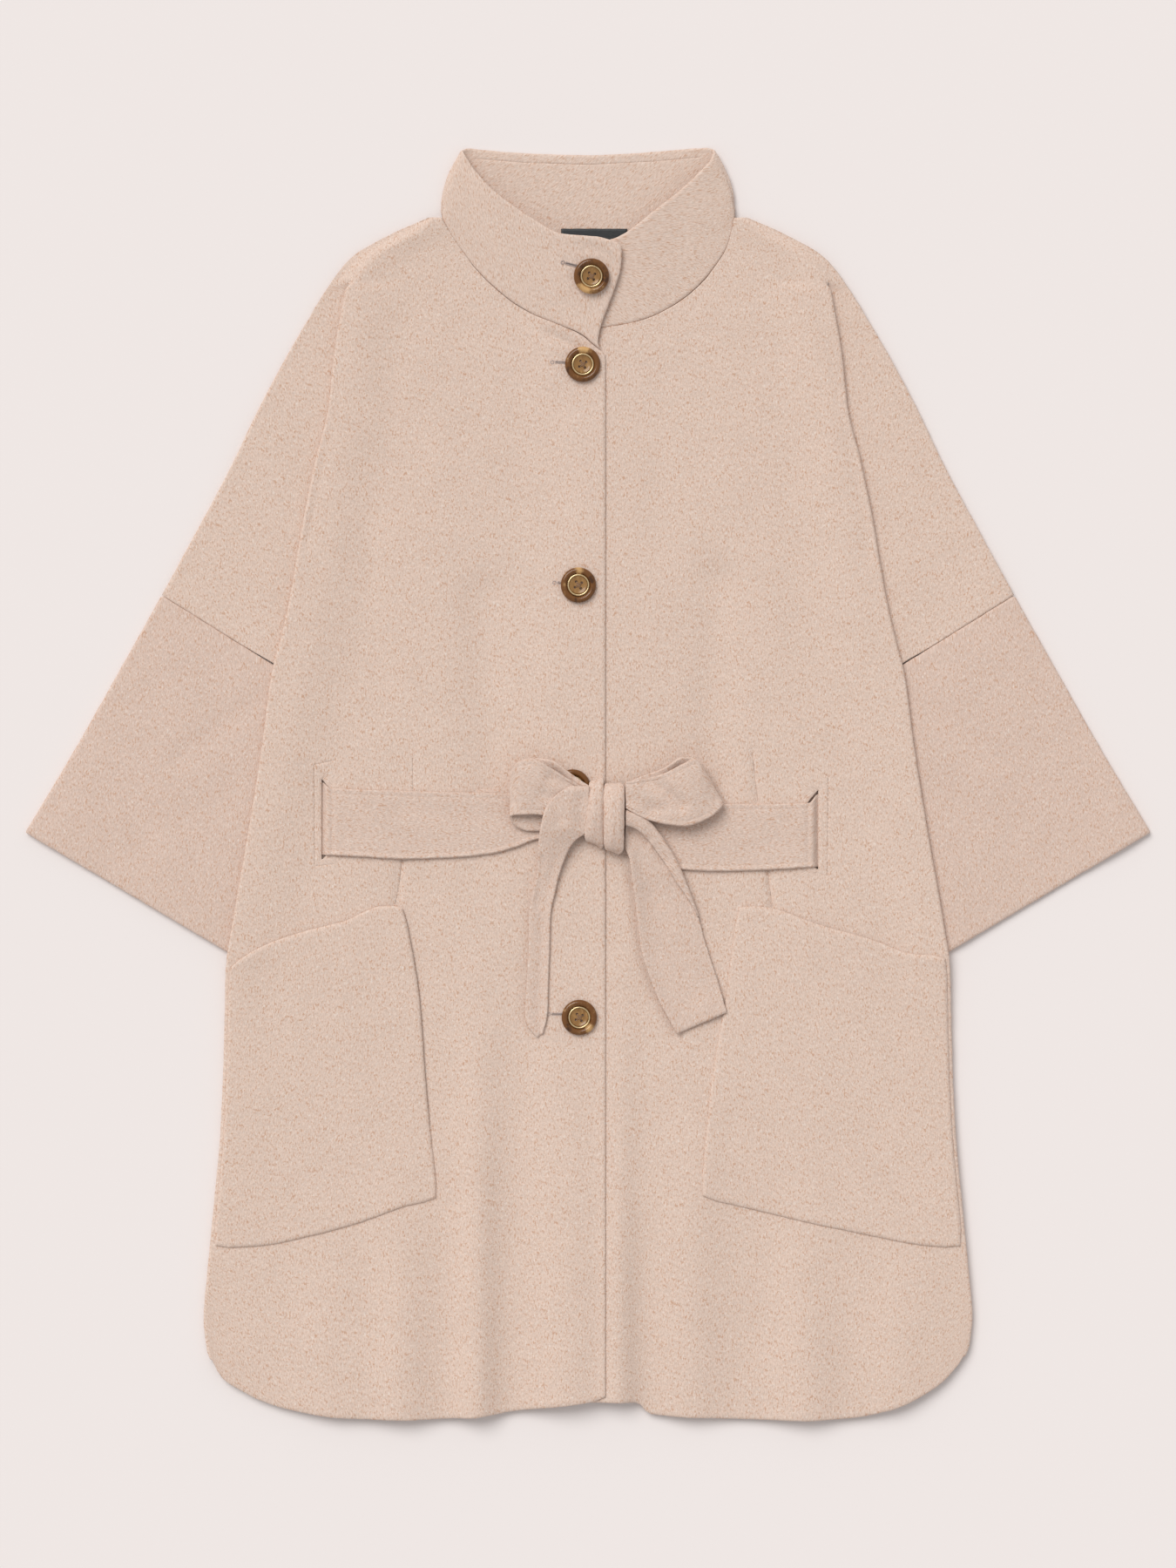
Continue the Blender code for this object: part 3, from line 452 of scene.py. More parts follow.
def close_slit_ends(made, slit, belt_top, belt_bottom, side):
    """Draws the slit's inner lip over to its outer one beyond the belt, so that it ends in a point."""
    left, right, bottom, top = slit
    outer, inner = (left, right) if side < 0 else (right, left)
    gap = inner - outer
    for vertex in made.verts:
        x, y = vertex.co.x / MM, vertex.co.y / MM
        across = (x - outer) / gap
        if across > 0 and bottom - SLIT_FADE < y < top + SLIT_FADE:
            near = min(across, 1.0) * (1 - smoothstep((across - LIP_FULL) / LIP_FADE))
            closed = max((y - belt_top) / (top - belt_top), (belt_bottom - y) / (belt_bottom - bottom))
            past = max(y - top, bottom - y, 0.0)
            share = min(max(closed, 0.0), 1.0) * (1 - smoothstep(past / SLIT_FADE))
            vertex.co.x -= (gap * SLIT_DRAWN) * near * share * MM


def only_select(piece):
    bpy.ops.object.select_all(action="DESELECT")
    piece.select_set(True)
    bpy.context.view_layer.objects.active = piece


def apply_modifiers(piece):
    only_select(piece)
    for modifier in list(piece.modifiers):
        bpy.ops.object.modifier_apply(modifier=modifier.name)


def add_piece(name, mesh, finish, node):
    """A finished piece: it rides with the coat and stands for its solid."""
    piece = bpy.data.objects.new(name, mesh)
    bpy.context.collection.objects.link(piece)
    dress(piece, finish, node)
    return piece


def dress(piece, finish, node):
    piece.data.materials.clear()
    piece.data.materials.append(finish)
    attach(piece, "root")
    if node:
        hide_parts(node)


def cloth(name, made, finish, wall, node=None, slot="wool", even=True):
    """A cloth piece: its middle sheet given a wall that rounds off at open edges."""
    bmesh.ops.recalc_face_normals(made, faces=made.faces)
    mesh = bpy.data.meshes.new(name)
    made.to_mesh(mesh)
    made.free()
    piece = add_piece(name, mesh, finish, node or name.replace("cloth_", ""))
    piece.vertex_groups.new(name="Wall")
    thicken = piece.modifiers.new("Wall", "SOLIDIFY")
    thicken.thickness = wall
    thicken.offset = 0
    thicken.use_even_offset = even
    thicken.use_quality_normals = True
    thicken.vertex_group = "Wall"
    thicken.thickness_vertex_group = 0.0
    apply_modifiers(piece)
    piece.vertex_groups.clear()
    bpy.ops.object.shade_smooth()
    return piece


def sew(name, made, finish, wall, flat, rests_on, held="laid", area=None, **options):
    """A cloth piece from its middle sheet; its flat size, area, what it lies on and how it is held have no
    effect.
    """
    area = min(area or sheet_area(made), flat[0] * flat[1])
    piece = cloth(name, made, finish, wall, **options)


def front_under(side):
    """The front that lies on one side of the coat."""
    return "front_right" if side < 0 else "front_left"


# -------- fronts
SLIT_RIGHT = (-214.0, -208.0, -60.5, 3.6)     # left, right, bottom, top
SLIT_LEFT = (176.6, 185.0, -68.5, -5.4)
SLIT_ENDS_RIGHT = (-3.5, -55.5)               # the belt's top and bottom there
SLIT_ENDS_LEFT = (-14.5, -64.0)
# seams pressed into the fronts: the stitched boxes round the belt slits, and the waist darts
FRONT_SEAMS_RIGHT = (((-203.5, 19), (-220, 15.5), (-219.6, -66), (-203, -64.5)),
                     ((-149, -52), (-151.5, -78), (-155, -97)),
                     ((-141, 22), (-140.6, -6)))
FRONT_SEAMS_LEFT = (((183, 13), (193, 5.6), (192.5, -74), (176, -69)),
                    ((132, 25), (137, -14)),
                    ((144, -62), (146, -84), (149.5, -101)))
# soft creases: (x, y, x, y, depth, width)
CREASES_RIGHT = ((-6, 350, -30, 361, 1.7, 4), (-34, 362, -70, 386, 0.5, 6),
                 (-46, -75, -51, -188, 1.3, 3.4), (-149, -54, -153.5, -96, 2.0, 2.6),
                 (-128, -64, -118, -96, 0.3, 5), (-182, 250, -168, 60, 0.7, 16),
                 (-84, 150, -80, -10, 3.4, 19), (-30, 300, -34, 120, 0.7, 16),
                 (-215, 330, -232, 200, 1.7, 11), (-146, -90, -140, -260, 1.6, 18))
CREASES_LEFT = ((-16, 353, -34, 362, 1.1, 4.5), (143.5, -62, 148.4, -100, 2.2, 2.6),
                (131.5, 26, 137, -14, 1.6, 2.8), (110, -72, 114, -96, 0.3, 5),
                (35.6, -72, 42.4, -130, 2.2, 3.2), (42.9, -135, 53.4, -165, 2.2, 3.2),
                (54.8, -169, 72, -202, 2.2, 3.2),
                (176, 280, 168, 70, 0.7, 16), (104, 160, 100, 10, 3.2, 19), (60, 320, 56, 190, 0.6, 16),
                (212, 330, 230, 190, 1.7, 11), (-30, 300, -34, 120, 0.7, 16))
FRONT_FLAT = (0.367, 0.967)
# what makes up each front: name, side, inner edge, hem, whether it laps over the other one,
# creases, slit, slit's ends, seams
FRONTS = (("cloth_front_right", -1, INNER_RIGHT, HEM_RIGHT, True, CREASES_RIGHT,
           SLIT_RIGHT, SLIT_ENDS_RIGHT, FRONT_SEAMS_RIGHT),
          ("cloth_front_left", 1, INNER_LEFT, HEM_LEFT, False, CREASES_LEFT,
           SLIT_LEFT, SLIT_ENDS_LEFT, FRONT_SEAMS_LEFT))

RAMP = 20.0              # above the fold the top layer ends this far from the shoulder's edge
FOLD_TOP_TURN = 75       # the bend over a side starts at this angle
UNDERARM_FADE = 18.0     # the tucked end comes up to the arm over this length
ARM_TUCK = 3.0           # near the underarm the front ends this far short of the sleeve's seam
ARM_TUCK_TOP = 110.0     # which fades out from here
ARM_TUCK_FADE = 12.0
# spacing of a front's rows: (down to this level, spacing), from the neck to the straight end
ROW_TOP = 455.0
ROW_SPACING = ((345.0, 2.6), (97.0, 4.6), (86.0, 11.0), (68.0, 6.0), (-138.0, 4.4), (-150.0, 6.0),
               (HEM_START_Y, 4.6))
HEM_ROWS = 28


def creases(table, x, y):
    """How far the soft creases of a piece lower its cloth at a place."""
    lowered = 0.0
    for ax, ay, bx, by, depth, width in table:
        path = ((ax, ay), (bx, by))
        if inside_box((x, y), path, BUMP_REACH * width):
            lowered += depth * bump(distance_to((x, y), path), width)
    return lowered


def seam_out(y):
    """The sleeve seam, straight from the outer edge of the arm to the underarm."""
    share = (y - UNDERARM_Y) / (SEAM_TOP_Y - UNDERARM_Y)
    return lerp(tuck_line(UNDERARM_Y), curve(OVERARM, SEAM_TOP_Y), share)


def seam_level(out):
    """The level of the sleeve seam at a distance out."""
    start, end = tuck_line(UNDERARM_Y), curve(OVERARM, SEAM_TOP_Y)
    return lerp(UNDERARM_Y, SEAM_TOP_Y, (out - start) / (end - start))


def tuck_line(y):
    """Inner end of the cloth turned under at the side fold."""
    return curve(SIDE_FOLD, y) - curve(TUCK_DEPTH, y)


def arc(centre_out, centre_z, radius, start, end, steps):
    angles = [radians(lerp(start, end, share)) for share in shares(steps)]
    return [(centre_out + radius * cos(a), centre_z + radius * sin(a)) for a in angles]


def side_profile(y, top_z, edge):
    """The section from the top layer's edge outwards, as (out, z) points."""
    if y < CUFF_Y:
        mid = edge - WALL / 2
        points = arc(mid - CURL, top_z - CURL, CURL, FOLD_TOP_TURN, 0, 8)
        return points + [(mid, LAYER)] * (SIDE_STEPS - len(points) + ARM_STEPS)
    radius = (top_z - TUCK_MID) / 2
    points = arc(edge - WALL / 2 - radius, TUCK_MID + radius, radius, FOLD_TOP_TURN, -90, 10)
    tuck = tuck_line(y)
    points.append((tuck + CURL, TUCK_MID))
    if y <= UNDERARM_Y:
        end_z = lerp(LAYER, ARM_MID, smoothstep((y - UNDERARM_Y) / UNDERARM_FADE + 1))
        points += arc(tuck + CURL, TUCK_MID - CURL, CURL, 110, 180, 4)
        return points + [(tuck, end_z)] * (SIDE_STEPS - len(points) + ARM_STEPS)
    points += arc(tuck + CURL, ARM_MID + CURL, CURL, 115, 270, 7)
    arm_end = curve(OVERARM, y)
    if y < SEAM_TOP_Y:
        arm_end = seam_out(y) - ARM_TUCK * smoothstep((ARM_TUCK_TOP - y) / ARM_TUCK_FADE)
    return points + [(lerp(tuck + CURL, arm_end, share), ARM_MID) for share in shares(ARM_STEPS)[1:]]


def shoulder_profile(y, start_out, start_z):
    """Above the side fold the cloth runs smoothly down to the outer edge of the shoulder."""
    end = curve(OVERARM, y)
    return [(lerp(start_out, end, share), lerp(start_z, ARM_MID, smoothstep(share)))
            for share in shares(SIDE_STEPS + ARM_STEPS)[1:]]


def plain_row(level, side, inner_table, lapped, crease_table):
    """One row across a front, from its inner edge to its outermost point."""
    inner = curve(inner_table, level)
    edge = outer_line(level)
    above_fold = level > SHOULDER_Y
    ramp = min(RAMP, (edge - inner) / 2)
    top_z = body_height(edge, level)
    radius = CURL if level < CUFF_Y else (top_z - TUCK_MID) / 2
    top_end = edge - ramp if above_fold else edge - WALL / 2 - radius
    row = []
    for share in shares(TOP_STEPS):
        x = side * lerp(inner, top_end, share)
        z = body_height(x, level) + (lap(x) if lapped else 0.0)
        row.append((x, level, z - creases(crease_table, x, level)))
    if above_fold:
        rest = shoulder_profile(level, top_end, row[-1][2])
    else:
        row[-1] = (row[-1][0], level, top_z)
        rest = side_profile(level, top_z, edge)
    return row + [(side * out, level, z) for out, z in rest]


def front_row(level, *shape):
    """One row across a front, blended where one kind of section turns into the next."""
    for upper, lower in BLENDED_LEVELS:
        if lower < level < upper:
            share = (upper - level) / (upper - lower)
            pairs = zip(plain_row(upper, *shape), plain_row(lower, *shape))
            return [mix(above, below, share) for above, below in pairs]
    return plain_row(level, *shape)


def hem_row(share, hem_table, side, inner_table, lapped, crease_table):
    """A row that bends from the last straight level towards the hem."""
    side_level = lerp(HEM_START_Y, HEM_CORNER_Y, share)
    base = front_row(side_level, side, inner_table, lapped, crease_table)
    hem_ends = front_row(HEM_CORNER_Y, side, inner_table, lapped, crease_table)
    top_end = side * hem_ends[TOP_STEPS][0]
    row = []
    for (x, _, z), (hem_x, _, _) in zip(base, hem_ends):
        y = lerp(HEM_START_Y, curve(hem_table, min(side * hem_x, top_end)), share)
        if z > LAYER + MERGE:
            lapping = lap(x) if lapped else 0.0
            curled = body_height(x, side_level) + lapping - z
            z = body_height(x, y) + lapping - curled
        row.append((x, y, z))
    return row


def front_rows(hem_table, *shape):
    """All rows of a front, from the neck down to its hem."""
    levels = [ROW_TOP]
    for level, spacing in ROW_SPACING:
        levels += spaced(levels[-1], level, spacing)[1:]
    rows = [front_row(level, *shape) for level in levels]
    return rows + [hem_row(share, hem_table, *shape) for share in shares(HEM_ROWS)[1:]]


def make_front(finish, wall, name, side, inner_table, hem_table, lapped, crease_table,
               slit, slit_ends, seams):
    made = cloth_sheet(front_rows(hem_table, side, inner_table, lapped, crease_table))
    area = sheet_area(made)
    for path in seams:
        score(made, path)
    open_slit(made, *slit)
    close_slit_ends(made, slit, *slit_ends, side)
    sew(name, made, finish, wall, FRONT_FLAT, ["back"], area=area)


# -------- back
# the back lies a little inside what lies on it, so that it never shows beyond
BACK_INSET = 1.0
BACK_SIDE_INSET = 1.6
BACK_NECK_DROP = 0.95
BACK_HEM_RAISE = 4.0
BACK_HEM_INSET = 2.0
BACK_NECK = ((0, 437), (30, 438.6), (60, 444), (90, 453))    # (out, level)
BACK_SHOULDER = (118, 455.5)
BACK_HEM_MIDDLE = -497.0
BACK_ARM_LEVELS = (448, 440, 430, 420, 406, 365, 309, 253, 197)
BACK_TUCK_LEVELS = (33, -30, -96, CUFF_Y)
BACK_SIDE_LEVELS = (-160, -223, -279, -335, -391, -425, -447)
BACK_STEP = 40.0         # spacing of the mesh lines
BACK_REACH = (440, 520)  # they reach this far to the sides, and up and down


def back_outline():
    """The back's outline: neck, shoulder and arm, underarm, side and hem, and the same again."""
    half = [(out, y - BACK_NECK_DROP) for out, y in BACK_NECK] + [BACK_SHOULDER]
    half += [(curve(OVERARM, y) - BACK_INSET, y) for y in BACK_ARM_LEVELS]
    half += [(out, seam_level(out) + SEAM_GAP)
             for out in (curve(OVERARM, SEAM_TOP_Y) - BACK_INSET, tuck_line(UNDERARM_Y) + BACK_INSET)]
    half += [(tuck_line(y) + BACK_INSET, y) for y in BACK_TUCK_LEVELS]
    half += [(curve(SIDE_EDGE, y) - BACK_SIDE_INSET, y) for y in BACK_SIDE_LEVELS]

    def hem(table):
        return [(out - BACK_HEM_INSET, y + BACK_HEM_RAISE) for out, y in reversed(table) if out > 0]

    right_half = half + hem(HEM_LEFT)
    left_half = [(-out, y) for out, y in half[1:] + hem(HEM_RIGHT)]
    return right_half + [(0, BACK_HEM_MIDDLE + BACK_HEM_RAISE)] + left_half[::-1]


def make_back(finish, wall):
    made = bmesh.new()
    flat = made.loops.layers.uv.new("Cloth")
    share_of = made.verts.layers.deform.verify()
    corners = [made.verts.new((x * MM, y * MM, BACK_MID * MM)) for x, y in back_outline()]
    made.faces.new(corners)
    for axis, reach in enumerate(BACK_REACH):
        for level in spaced(-reach, reach, BACK_STEP):
            cut_line(made, list(made.faces), axis, level)
    for vertex in made.verts:
        vertex[share_of][0] = 1.0
    for face in made.faces:
        for loop in face.loops:
            loop[flat].uv = loop.vert.co.xy
    sew("cloth_back", made, finish, wall, (0.683, 0.963), ())


# -------- sleeves
# soft creases on a sleeve: (x from, y from, x to, y to, depth, width), for the side x > 0
SLEEVE_CREASES = ((262, 70, 330, 20, 0.9, 9), (300, 100, 392, 62, 0.5, 13),
                  (285, 0, 380, -60, 0.6, 14))
SLEEVE_ROWS = 52
SLEEVE_COLUMNS = 48      # columns across its front, and as many across its back
SLEEVE_TURN = 6          # steps round each of its folded sides
SLEEVE_END_Y = -40.0     # its cuff's outer corner
SLEEVE_SEAM_GAP = 1.3 * SEAM_GAP
SLEEVE_PUFF = 0.7        # its front stands this much fuller
SLEEVE_PUFF_FADE = 20.0  # from this far in from its folded sides
SLEEVE_PUFF_SHARE = 1 / 7    # and from this share of the way down


def sleeve_ring(share, side):
    """A flattened section of a sleeve, as points round it."""
    half = (ARM_MID - BACK_MID) / 2
    centre_z = (ARM_MID + BACK_MID) / 2
    outer_y = lerp(SEAM_TOP_Y, SLEEVE_END_Y, share)
    inner_y = lerp(UNDERARM_Y, CUFF_Y + CUFF_SHORT, share)
    outer = (curve(OVERARM, outer_y) - half - WALL / 2, outer_y)
    inner = (tuck_line(inner_y) + LAYER + half, inner_y)
    if share == 0:
        outer, inner = [(out, seam_level(out) - SLEEVE_SEAM_GAP) for out, _ in (outer, inner)]
    run = (outer[0] - inner[0], outer[1] - inner[1])
    length = (run[0] ** 2 + run[1] ** 2) ** 0.5
    along = (run[0] / length, run[1] / length)

    def at(distance, z):
        out, y = inner[0] + along[0] * distance, inner[1] + along[1] * distance
        if z > centre_z + half / 2:
            slack = smoothstep(distance / SLEEVE_PUFF_FADE)
            slack *= smoothstep((length - distance) / SLEEVE_PUFF_FADE)
            slack *= smoothstep(share / SLEEVE_PUFF_SHARE)
            z += slack * (SLEEVE_PUFF - creases(SLEEVE_CREASES, out, y))
        return (side * out, y, z)

    across = shares(SLEEVE_COLUMNS)
    turn = [radians(90 - 180 * i / SLEEVE_TURN) for i in range(1, SLEEVE_TURN)]
    ring = [at(length * part, ARM_MID) for part in across]
    ring += [at(length + half * cos(a), centre_z + half * sin(a)) for a in turn]
    ring += [at(length * (1 - part), BACK_MID) for part in across]
    ring += [at(-half * cos(a), centre_z + half * sin(a)) for a in reversed(turn)]
    return ring


def make_sleeve(name, side, finish, wall):
    made = cloth_sheet([sleeve_ring(share, side) for share in shares(SLEEVE_ROWS)], closed=True)
    sew(name, made, finish, wall, (0.42, 0.26), [front_under(side)])


# -------- collar and label
COLLAR_STEPS = 150       # steps along it
COLLAR_ROW_STEP = 0.042  # share of its height between two rows
COLLAR_HALF = 118.0      # half its width at its base
# stations along the table of the collar, counted from its overlapping end
SEWN_RIGHT = 7.5         # it is sewn to the right front up to here,
SEWN_LEFT = (16.5, 23)   # to the left one between these,
SEWN_MIDDLE = 12         # and its middle is here
SEWN_SLACK = 0.2         # share of the way from the neck's edge that its base keeps
NECK_LINE = (346, 455, 1.5)      # the neck's edge: lowest level, highest level, spacing
# the overlapping end's edge swings out and in: (share of the way up, out)
COLLAR_END = ((0, 0), (0.07, -2.6), (0.18, -2.9), (0.34, -1.2), (0.52, 1.5), (0.73, 3.8),
              (0.88, 2.8), (0.96, 1.0), (1, -1.2))
COLLAR_END_REACH = 1.6   # stations over which that swing fades out
COLLAR_LIFT = 1.7        # the lower corner of that end stands off the front,
COLLAR_LIFT_REACH = 3.4  # over this many stations
COLLAR_LIFT_HEIGHT = 0.3 # and this share of the height
# a hollow in that end, round the upper button
COLLAR_DIMPLE = ((-1, 430), (10, 428), (18, 421), (22, 412))
DIMPLE_REACH = 3         # stations
DIMPLE_DEPTH = 1.5
DIMPLE_WIDTH = 4.2
BACK_HALF = slice(10, 15)        # rows of the table that are the collar's back half
BACK_HALF_BELOW = 2.0    # which lies lower than this
EDGE_SEAM_IN = 7.7       # its stitching lies this far below its top edge


def neck_line(table, side):
    return [(side * curve(table, y), y) for y in spaced(*NECK_LINE)]


def sewn_to(x, y, neck):
    """Draws the collar's base to the neck edge of the front that it is sewn to."""
    near = min(neck, key=lambda place: (place[0] - x) ** 2 + (place[1] - y) ** 2)
    return mix(near, (x, y), SEWN_SLACK)


def collar_rows():
    necks = (neck_line(INNER_RIGHT, -1), neck_line(INNER_LEFT, 1))
    along = stations(COLLAR, COLLAR_STEPS)
    rows = []
    for share in spaced(0, 1, COLLAR_ROW_STEP):
        lift = COLLAR_LIFT * (1 - smoothstep(share / COLLAR_LIFT_HEIGHT))
        row = []
        for at, base_x, base_y, base_z, top_x, top_y, top_z in along:
            bow = COLLAR_BOW * sin(pi * share) * (base_x / COLLAR_HALF) ** 3
            bow += curve(COLLAR_END, share) * (1 - smoothstep(at / COLLAR_END_REACH))
            if at < SEWN_RIGHT or SEWN_LEFT[0] < at < SEWN_LEFT[1]:
                base_x, base_y = sewn_to(base_x, base_y, necks[at > SEWN_MIDDLE])
            x = lerp(base_x, top_x, share) + bow
            y = lerp(base_y, top_y, share)
            z = lerp(base_z, top_z, share) + lift * (1 - smoothstep(at / COLLAR_LIFT_REACH))
            if at < DIMPLE_REACH:
                z -= collar_dimple(x, y)
            row.append((x, y, z))
        rows.append(row)
    return rows


def collar_dimple(x, y):
    return DIMPLE_DEPTH * bump(distance_to((x, y), COLLAR_DIMPLE), DIMPLE_WIDTH)


def collar_seam():
    """The line of stitching that follows the top edge of the collar's back half."""
    line = []
    for base_x, base_y, _, top_x, top_y, _ in COLLAR[BACK_HALF]:
        top, base = (top_x, top_y), (base_x, base_y)
        line.append(mix(top, base, EDGE_SEAM_IN / step_length(top, base)))
    return line


def make_collar(finish, wall):
    made = cloth_sheet(collar_rows())
    area = sheet_area(made)
    score(made, collar_seam(), BACK_HALF_BELOW)
    sew("cloth_collar", made, finish, wall, (0.54, 0.1), ["back", "front_right", "front_left"],
        "folded", area, even=False)


def make_label(finish):
    left, right, bottom, top = LABEL
    z = WALL + LABEL_GAP + LABEL_THICKNESS / 2
    rows = [[(x, y, z) for x in spaced(left, right, LABEL_STEP)] for y in spaced(top, bottom, LABEL_STEP)]
    made = cloth_sheet(rows, drop=LABEL_DROP)
    sew("cloth_label", made, finish, LABEL_THICKNESS * MM, (0.0545, 0.019), ["back"], slot="label_satin")


# -------- pockets
POCKET_STEPS = 60
POCKET_PUFF = 0.5        # its middle stands this much fuller
POCKET_LAYER = 2.1       # it is sewn down flat, middle to middle
POCKET_DROP = 1.3        # its edges are pressed down by this much
CORNER_LINES = 4         # its corners are rounded over this many mesh lines,
CORNER_INWARD = 6        # towards the point this many lines in,
CORNER_PULL = 0.09       # and at the very corner by this share of the way
# name, side, edges across, inner side, flat size
POCKETS = (("cloth_pocket_right", -1, POCKET_RIGHT_EDGES, POCKET_RIGHT_INNER, (0.181, 0.276)),
           ("cloth_pocket_left", 1, POCKET_LEFT_EDGES, POCKET_LEFT_INNER, (0.211, 0.276)))


def pocket_rows(side, edges, inner):
    rows = []
    for down in shares(POCKET_STEPS):
        row = []
        for share in shares(POCKET_STEPS):
            level = lerp(curve(edges, share, 1), curve(edges, share, 2), down)
            outer = curve(SIDE_EDGE, level) - POCKET_SIDE_INSET
            x = side * lerp(curve(inner, down), outer, share)
            gape = POCKET_GAPE * sin(pi * share) * (1 - down) ** 3
            puff = POCKET_PUFF * (16 * share * (1 - share) * down * (1 - down)) ** 0.5
            z = top_height(x, level) + POCKET_LAYER + gape + puff
            row.append((x, level, z))
        rows.append(row)
    return rows


def round_corners(rows):
    """Draws the four corners of a grid in towards an arc."""
    last = len(rows) - 1
    made = [list(row) for row in rows]
    for corner_row in (0, last):
        for corner_column in (0, last):
            corner = rows[corner_row][corner_column]
            inward = rows[abs(corner_row - CORNER_INWARD)][abs(corner_column - CORNER_INWARD)]
            for down in range(CORNER_LINES):
                for across in range(CORNER_LINES):
                    i, j = abs(corner_row - down), abs(corner_column - across)
                    pull = CORNER_PULL * max(0.0, 1 - (down + across) / CORNER_LINES)
                    x, y, z = made[i][j]
                    made[i][j] = (x + (inward[0] - corner[0]) * pull,
                                  y + (inward[1] - corner[1]) * pull, z)
    return made


def make_pocket(finish, wall, name, side, edges, inner, flat):
    made = cloth_sheet(round_corners(pocket_rows(side, edges, inner)), drop=POCKET_DROP)
    sew(name, made, finish, wall, flat, [front_under(side)])


# -------- belt
CLIMB = 5.8              # the belt comes up out of its slit over this length
CLIMB_INSET = 0.4
# rows of a strip: the ones behind the slit, then to this far past it at this spacing
BELT_BEHIND = (-9.0, -4.5, -1.5)
BELT_FINE = (14.0, 0.95)
KNOT_CLEAR = 12.0        # past the lap's edge the left strip sinks to the knot's own height,
KNOT_REACH = 30.0        # over this length
SLIT_FLARE = (5.5, 7.5)  # its upper edge fans out to the slit's end: viewer's left, right
FLARE_LENGTH = 7.5
EDGE_SEAM = 4.0          # the belt's edges are hand-stitched this far in
EDGE_SEAM_DEPTH = 0.28
BELT_CURL = 0.9          # its lower edge curls up off the front
BELT_CURL_WIDTH = 6.0
STITCH_LINES = (-1.4, -0.7, 0, 0.7, 1.4)     # mesh lines across the hand stitching
STITCH_WIDTH = 0.8
STRIP_EDGE = 1.3         # the outermost mesh line lies this far in
STRIP_COLUMNS = 14       # between the two rows of stitching
# shallow creases across a strip near its slit: (distance past the slit, height, width)
STRIP_CREASES = ((3.4, 0.35, 1.9), (8.2, -0.85, 2.4))
# soft dents of the strips: (x, y, x, y, depth, width)
STRIP_DENTS = ((-150, -20, -60, -28, 0.7, 9), (-195, -40, -120, -46, 0.4, 7), (-58, -20, -30, -34, 0.8, 5),
               (60, -40, 96, -22, 0.6, 7), (100, -56, 165, -48, 0.45, 8))


def across_shares(width):
    """Shares of the way across a belt strip, closer together along its stitched edges."""
    edge = [0, STRIP_EDGE / width] + [(EDGE_SEAM + offset) / width for offset in STITCH_LINES]
    middle = [lerp(edge[-1], 1 - edge[-1], share) for share in shares(STRIP_COLUMNS)[1:-1]]
    return edge + middle + [1 - share for share in reversed(edge)]


def stitched_edge(share, width):
    """The groove of the hand stitching along both edges of the belt."""
    from_edge = min(share, 1 - share) * width
    return -EDGE_SEAM_DEPTH * bump(from_edge - EDGE_SEAM, STITCH_WIDTH)


def strip_rows(levels, slit, side):
    """A belt strip: up out of its slit, then along the front to the knot."""
    table = sorted(levels)
    left, right = slit[:2]
    lip = left if side < 0 else right
    knot_x = table[-1][0] if side < 0 else table[0][0]
    fine_end, fine_step = BELT_FINE
    past = [*BELT_BEHIND] + spaced(0, fine_end, fine_step)
    past += spaced(fine_end, abs(knot_x - lip), GRAIN_STEP)[1:]
    rows = []
    for distance in past:
        x = lip - side * distance
        top, bottom = curve(table, x, 1), curve(table, x, 2)
        top += SLIT_FLARE[side > 0] * (1 - smoothstep(distance / FLARE_LENGTH))
        risen = smoothstep((distance - CLIMB_INSET) / CLIMB)
        near_knot = smoothstep(1 - (x - LAP_EDGE - KNOT_CLEAR) / KNOT_REACH) if x > LAP_EDGE else 0.0
        creased = sum(height * bump(distance - at, width) for at, height, width in STRIP_CREASES)
        width = top - bottom
        row = []
        for share in across_shares(width):
            y = lerp(top, bottom, share)
            z = lerp(top_height(x, y), BODY_MID + LAP_LIFT, near_knot) + LAYER + BELT_EASE
            z += creased + stitched_edge(share, width) - creases(STRIP_DENTS, x, y) * risen
            z += BELT_CURL * (1 - smoothstep((1 - share) * width / BELT_CURL_WIDTH))
            row.append((x, y, lerp(INSIDE_MID, z, risen)))
        rows.append(row)
    return rows


def inside_rows():
    """The strip inside the coat, straight across the back from slit to slit."""
    start, end = SLIT_RIGHT[1], SLIT_LEFT[0]
    right_y, left_y = [(slit[2] + slit[3]) / 2 for slit in (SLIT_RIGHT, SLIT_LEFT)]
    rows = []
    for x in spaced(start + INSIDE_CLEAR, end - INSIDE_CLEAR, INSIDE_STEP):
        middle = lerp(right_y, left_y, (x - start) / (end - start))
        levels = spaced(middle + BELT_WIDTH / 2, middle - BELT_WIDTH / 2, INSIDE_STEP + 1)
        rows.append([(x, y, INSIDE_MID) for y in levels])
    return rows


def make_strips(finish, wall):
    strips = (("cloth_belt_front_right", BELT_RIGHT, SLIT_RIGHT, -1, 0.225),
              ("cloth_belt_front_left", BELT_LEFT, SLIT_LEFT, 1, 0.165))
    for name, levels, slit, side, length in strips:
        made = cloth_sheet(strip_rows(levels, slit, side))
        sew(name, made, finish, wall, (0.056, length), [front_under(side)])
    sew("cloth_belt_inside", cloth_sheet(inside_rows()), finish, wall, (0.055, 0.383), ["back"])


